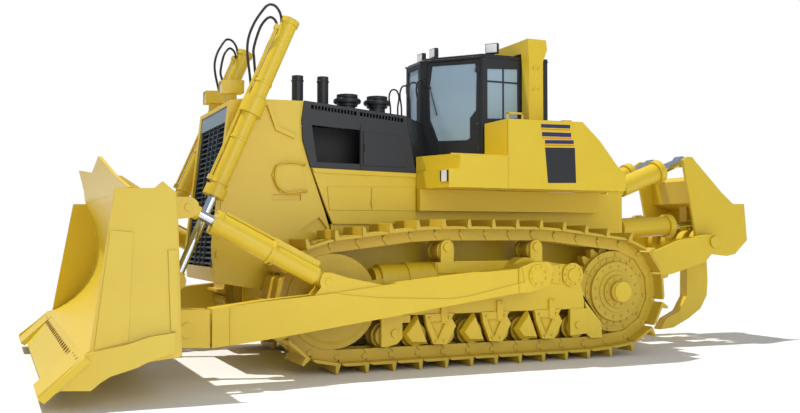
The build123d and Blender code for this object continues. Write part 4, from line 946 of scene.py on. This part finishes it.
MOLD = curve((5290, 545), (4620, 1300), (4800, 2240)) + [(4680, 2240), (4400, 2150), (MOLD_X, 1900),
    (MOLD_X, 480), (4700, 440), (5245, 505)]
board = Body()
board.span([(x, lean_y(z) - 40, z) for x, z in MOLD], [(x, 40 - lean_y(z), z) for x, z in MOLD])
for side in SIDES:
    for y0 in (PUSH_Y - TONGUE_HALF - GAP - 48, PUSH_Y + TONGUE_HALF + GAP):
        board.plate(side, y0, y0 + 48, ((3850, 458), (3850, 892), (4330, 905), (4330, 485)))
    board.disc(side, PUSH_Y - 165, PUSH_Y + 165, ARM_PIN, ARM_PIN_R)
    for y0 in (PUSH_Y - 107, PUSH_Y + 77):
        board.disc(side, y0, y0 + 30, TILT_FRONT, 120)
        board.plate(side, y0, y0 + 30, ((4090, 2180), (4420, 2180), (4420, 1900), (4060, 1945)))
    for y0 in (LIFT_Y - 102, LIFT_Y + 72):
        board.disc(side, y0, y0 + 30, LIFT_PIN, 110)
        board.plate(side, y0, y0 + 30, ((4060, 1290), (4400, 1400), (4400, 950), (4060, 1070)))
    board.disc(side, LIFT_Y - 112, LIFT_Y + 112, LIFT_PIN, 48)
    board.disc(side, PUSH_Y - 118, PUSH_Y + 118, TILT_FRONT, 48)
# stiffening boxes on the blade's back
for z0, z1 in ((1500, 1640), (1010, 1150)):
    board.across(2450, ((MOLD_X + 5, z0), (MOLD_X + 5, z1), (MOLD_X - 45, z1 - 25),
            (MOLD_X - 45, z0 + 25)))
show("moldboard_form", board, PAINT, "moldboard", on="blade")

ends, bits, bolts = Body(), Body(), Body()
for side in SIDES:
    leaning(ends, side, -40, 0, PLATE_SIDE)
    leaning(ends, side, -5, 16, PANEL_FRONT)
    leaning(ends, side, -5, 16, PANEL_REAR)
show("blade_end_plates", ends, PAINT, "blade_ends", on="blade")
bits.across(2100, EDGE_SIDE)
for side in SIDES:
    bits.plate(side, 2103, 3137, ((5717, 160), (5290, 548), (5240, 500), (5660, 120)))
    leaning(bits, side, 1, 75, BIT_SIDE)
show("blade_edges", bits, PAINT, "cutting_edge", on="blade")

EDGE_TOP, EDGE_RUN, EDGE_DROP = (5290, 545), 340, 385


def edge_bolt(body, y, share):
    """Bolt head on the cutting edge, at a share of its width from the top."""
    spot = (EDGE_TOP[0] + share * EDGE_RUN, y, EDGE_TOP[1] - share * EDGE_DROP)
    plane = Plane(spot, (0, 1, 0), (EDGE_DROP, 0, EDGE_RUN))
    body.prism(plane.offset(-4), ring((0, 0), 30, 12), 14)


for i in range(-9, 10):
    edge_bolt(bolts, i * 225, 0.2)
for side in SIDES:
    for y in (2320, 2560, 2800):
        edge_bolt(bolts, side * y, 0.16)
        edge_bolt(bolts, side * y, 0.34)
# the cutting edge's bolt heads take the darkened yellow, a painted shade
show("edge_bolts", bolts, BOLT_YELLOW_SHADED, on="blade")

GUARD_PEAK, GUARD_FOLD, GUARD_END = (5000, 1283, 2676), (4896, 1801, 2430), (4823, 2395, 2258)
GUARD_FOOT, GUARD_RUN, GUARD_RISE, GUARD_T = (4740, 2200), 240, 520, 40
GUARD_RIB = ((4520, 2241), (4765, 2241), (4850, 2420), (4800, 2420))
guard = Body()
for side in SIDES:
    front = [(side * y, z) for y, z in ((0, 2241), (GUARD_END[1] - 60, 2241), GUARD_END[1:],
            GUARD_FOLD[1:], GUARD_PEAK[1:], (0, 2560))]
    xs = [GUARD_FOOT[0] + (z - GUARD_FOOT[1]) * GUARD_RUN / GUARD_RISE for _, z in front]
    guard.span(*([(x + dx, y, z) for x, (y, z) in zip(xs, front)] for dx in (GUARD_T, 0)))
    for y in (300, 800, GUARD_PEAK[1], GUARD_FOLD[1]):
        guard.plate(side, y - 15, y + 15, GUARD_RIB)
show("spill_guard_form", guard, PAINT, "spill_guard", on="blade")


# ---- blade cylinders
def axis_plane(p, q, side, y):
    """Plane at p facing q, with local X across the machine."""
    return Plane((p[0], side * y, p[1]), (0, 1, 0), (q[0] - p[0], 0, q[1] - p[1]))


barrels = Body()
for side in SIDES:
    base = axis_plane(LIFT_TOP, LIFT_PIN, side, LIFT_Y)
    barrels.rod(base, ((0, 2520, 110), (2390, 2520, 140), (1146, 1366, 150), (-8, 60, 124),
            (2330, 2345, 122), (900, 930, 120), (1700, 1730, 120)))
    barrels.disc(side, 886, LIFT_Y - 100, LIFT_PIVOT, 80)
    barrels.head_bolts(base.offset(2515), 118, 14, 18)
    # oil pipe along the barrel and its two clamps
    barrels.prism(base.offset(150), ring((0, 135), 20, 16), 2150)
    barrels.prism(base.offset(130), box_plan(-30, 30, 95, 165), 60)
    barrels.prism(base.offset(2280), box_plan(-30, 30, 95, 165), 60)
show("lift_barrel_form", barrels, PAINT, "lift_barrels", on="blade_lift_barrels")

rods, eyes = Body(), Body()
for side in SIDES:
    base = axis_plane(LIFT_TOP, LIFT_PIN, side, LIFT_Y)
    rods.rod(base, ((1700, LIFT_SPAN - 60, 56),))
    eyes.rod(base, ((LIFT_SPAN - 125, LIFT_SPAN - 60, 74),))
    eyes.disc(side, LIFT_Y - 60, LIFT_Y + 60, LIFT_PIN, 95)
show("lift_rod_form", rods, CHROME, "lift_rods", on="blade_lift_rods")
show("lift_rod_eyes", eyes, PAINT, on="blade_lift_rods")

TILT_SPAN = math.dist(TILT_REAR, TILT_FRONT)
casing, ram, ram_eyes = Body(), Body(), Body()
for side in SIDES:
    base = axis_plane(TILT_REAR, TILT_FRONT, side, PUSH_Y)
    casing.rod(base, ((60, 160, 85), (150, 800, 115), (790, 1558, 135), (780, 812, 150),
            (1500, 1562, 150)))
    casing.prism(base.offset(180), box_plan(-35, 35, 20, 180), 640)
    casing.prism(base.offset(820), ring((0, 158), 18, 16), 640)
    casing.disc(side, PUSH_Y - 80, PUSH_Y + 80, TILT_REAR, 100)
    casing.head_bolts(base.offset(1556), 128, 13, 16, 20)
    ram.rod(base, ((700, TILT_SPAN - 70, 62),))
    ram_eyes.rod(base, ((TILT_SPAN - 150, TILT_SPAN - 60, 82),))
    ram_eyes.disc(side, PUSH_Y - 65, PUSH_Y + 65, TILT_FRONT, 100)
show("tilt_casing", casing, PAINT, "tilt_rods", on="blade_tilt_rods")
show("tilt_ram", ram, CHROME, "tilt_barrels", on="blade_tilt_barrels")
show("tilt_ram_eyes", ram_eyes, PAINT, on="blade_tilt_barrels")

# ---- hand rails and hoses
HAND_R = 13
for side, tag in TAGGED:
    wall, y = side * NOSE_HALF, side * (NOSE_HALF + 55)
    tube("nose_rail_" + tag,
         [(2335, wall, 2680), (2340, y, 2690), (2690, y, 2672), (2745, y, 2560), (2660, y, 2345),
          (2320, y, 2335), (2300, wall, 2330)], HAND_R, "tractor", PAINT)
    for k, (x, top) in enumerate(((360, 4020), (520, 3960))):
        at = side * (300 + 60 * k)
        tube("screen_rail_%d_%s" % (k, tag),
             [(x + dx, at, z) for dx, z in ((0, 3400), (4, 3700), (10, top), (-40, top + 45),
                (-110, top + 20), (-118, 3700), (-120, 3400))],
             HAND_R, "tractor", BLACK)


def smooth(points, steps=8):
    """Points on a soft run through the given ones."""
    knots = [Vector(p) for p in points]
    ends = [2 * knots[0] - knots[1]] + knots + [2 * knots[-1] - knots[-2]]
    run = []
    for a, b, c, d in zip(ends, ends[1:], ends[2:], ends[3:]):
        for i in range(steps):
            t = i / steps
            run.append(0.5 * (2 * b + (c - a) * t + (2 * a - 5 * b + 4 * c - d) * t * t
                    + (3 * b - a - 3 * c + d) * t * t * t))
    return run + [knots[-1]]


# oil hoses from the lift cylinders' heads down to the nose: x, share of the way inward, z
HOSES = (((2726, 0.0, 4532), (2752, 0.0, 4640), (2820, 0.0, 4722), (2908, 0.05, 4724),
    (2988, 0.2, 4625), (3066, 0.35, 4487), (3118, 0.55, 4314), (3117, 0.75, 4121),
    (3060, 0.95, 3790), (3040, 1.0, 3540)), ((2762, 0.0, 4449), (2796, 0.0, 4545),
    (2862, 0.06, 4585), (2930, 0.2, 4530), (2986, 0.35, 4417), (3038, 0.6, 4192),
    (3024, 0.75, 4064), (2985, 0.95, 3800), (2960, 1.0, 3540)))
HOSE_OUT_Y, HOSE_IN_Y, HOSE_STEP, HOSE_R = LIFT_Y + 10, 840, 60, 17
for side, tag in TAGGED:
    for number, hose in enumerate(HOSES):
        ys = [HOSE_OUT_Y + (HOSE_IN_Y - HOSE_OUT_Y) * share - HOSE_STEP * number * (1 - share)
              for _, share, _ in hose]
        route = smooth([(x, side * y, z) for (x, _, z), y in zip(hose, ys)])
        obj = tube("lift_hose_%d_%s" % (number, tag), route, HOSE_R, None, RUBBER)
        path = [tuple(p / 1000) for p in route]
        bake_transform(obj)

# ---- camera, floor and light
EYE = (6.169, 12.633, 1.717)
YAW, RISE = math.radians(-114.08), math.radians(1.93)
SENSOR_MM, LENS_MM = 36, 41.41
cam = placed("camera", bpy.data.cameras.new("camera"))
cam.location = EYE
way = Vector((math.cos(YAW) * math.cos(RISE), math.sin(YAW) * math.cos(RISE), math.sin(RISE)))
cam.rotation_euler = way.to_track_quat("-Z", "Y").to_euler()
cam.data.sensor_width = SENSOR_MM
cam.data.lens = LENS_MM
bpy.context.scene.camera = cam
bpy.context.scene.view_settings.view_transform = "Standard"

# floor that fades to white with distance
FLOOR_SIZE, FLOOR_Z, FADE = 120, -0.002, (7.5, 16)
bpy.ops.mesh.primitive_plane_add(size=FLOOR_SIZE, location=(0, 0, FLOOR_Z))
floor = bpy.context.object
floor.name = "floor"
ground = bpy.data.materials.new("floor_white")
ground.use_nodes = True
nodes, link = ground.node_tree.nodes, ground.node_tree.links.new
shader = nodes["Principled BSDF"]
put(shader, Base_Color=(0.8, 0.8, 0.81, 1), Roughness=0.9)
place = nodes.new("ShaderNodeNewGeometry")
reach = nodes.new("ShaderNodeVectorMath")
reach.operation = "LENGTH"
link(place.outputs["Position"], reach.inputs[0])
fade = nodes.new("ShaderNodeMapRange")
put(fade, From_Min=FADE[0], From_Max=FADE[1])
link(reach.outputs["Value"], fade.inputs["Value"])
glow = nodes.new("ShaderNodeEmission")
mix = nodes.new("ShaderNodeMixShader")
link(fade.outputs["Result"], mix.inputs["Fac"])
link(shader.outputs["BSDF"], mix.inputs[1])
link(glow.outputs["Emission"], mix.inputs[2])
link(mix.outputs["Shader"], nodes["Material Output"].inputs["Surface"])
floor.data.materials.append(ground)

# soft dome on the machine, plain white behind it
DOME_COLOUR, DOME_LIGHT = (0.88, 0.93, 1.0, 1), 0.45
world = bpy.data.worlds.new("world")
bpy.context.scene.world = world
world.use_nodes = True
nodes, link = world.node_tree.nodes, world.node_tree.links.new
dome = nodes["Background"]
put(dome, Color=DOME_COLOUR, Strength=DOME_LIGHT)
backdrop = nodes.new("ShaderNodeBackground")
put(backdrop, Color=(1, 1, 1, 1), Strength=1.0)
path = nodes.new("ShaderNodeLightPath")
choose = nodes.new("ShaderNodeMixShader")
link(path.outputs["Is Camera Ray"], choose.inputs["Fac"])
link(dome.outputs["Background"], choose.inputs[1])
link(backdrop.outputs["Background"], choose.inputs[2])
link(choose.outputs["Shader"], nodes["World Output"].inputs["Surface"])


def lamp(name, kind, place, aim, size, power, colour=(1, 1, 1)):
    """Light at a place; size is metres, or the sun's angle."""
    light = bpy.data.lights.new(name, kind)
    if kind == "AREA":
        light.size = size
    else:
        light.angle = size
    light.energy = power
    light.color = colour
    obj = placed(name, light)
    obj.location = place
    obj.rotation_euler = (Vector(aim) - Vector(place)).to_track_quat("-Z", "Y").to_euler()


lamp("sun", "SUN", (3.6, -3, 12), (0, 0, 0), math.radians(1), 3.4, (1.0, 0.97, 0.9))
lamp("fill", "AREA", (1, 15, 6), (0, 0, 1.5), 9, 620)
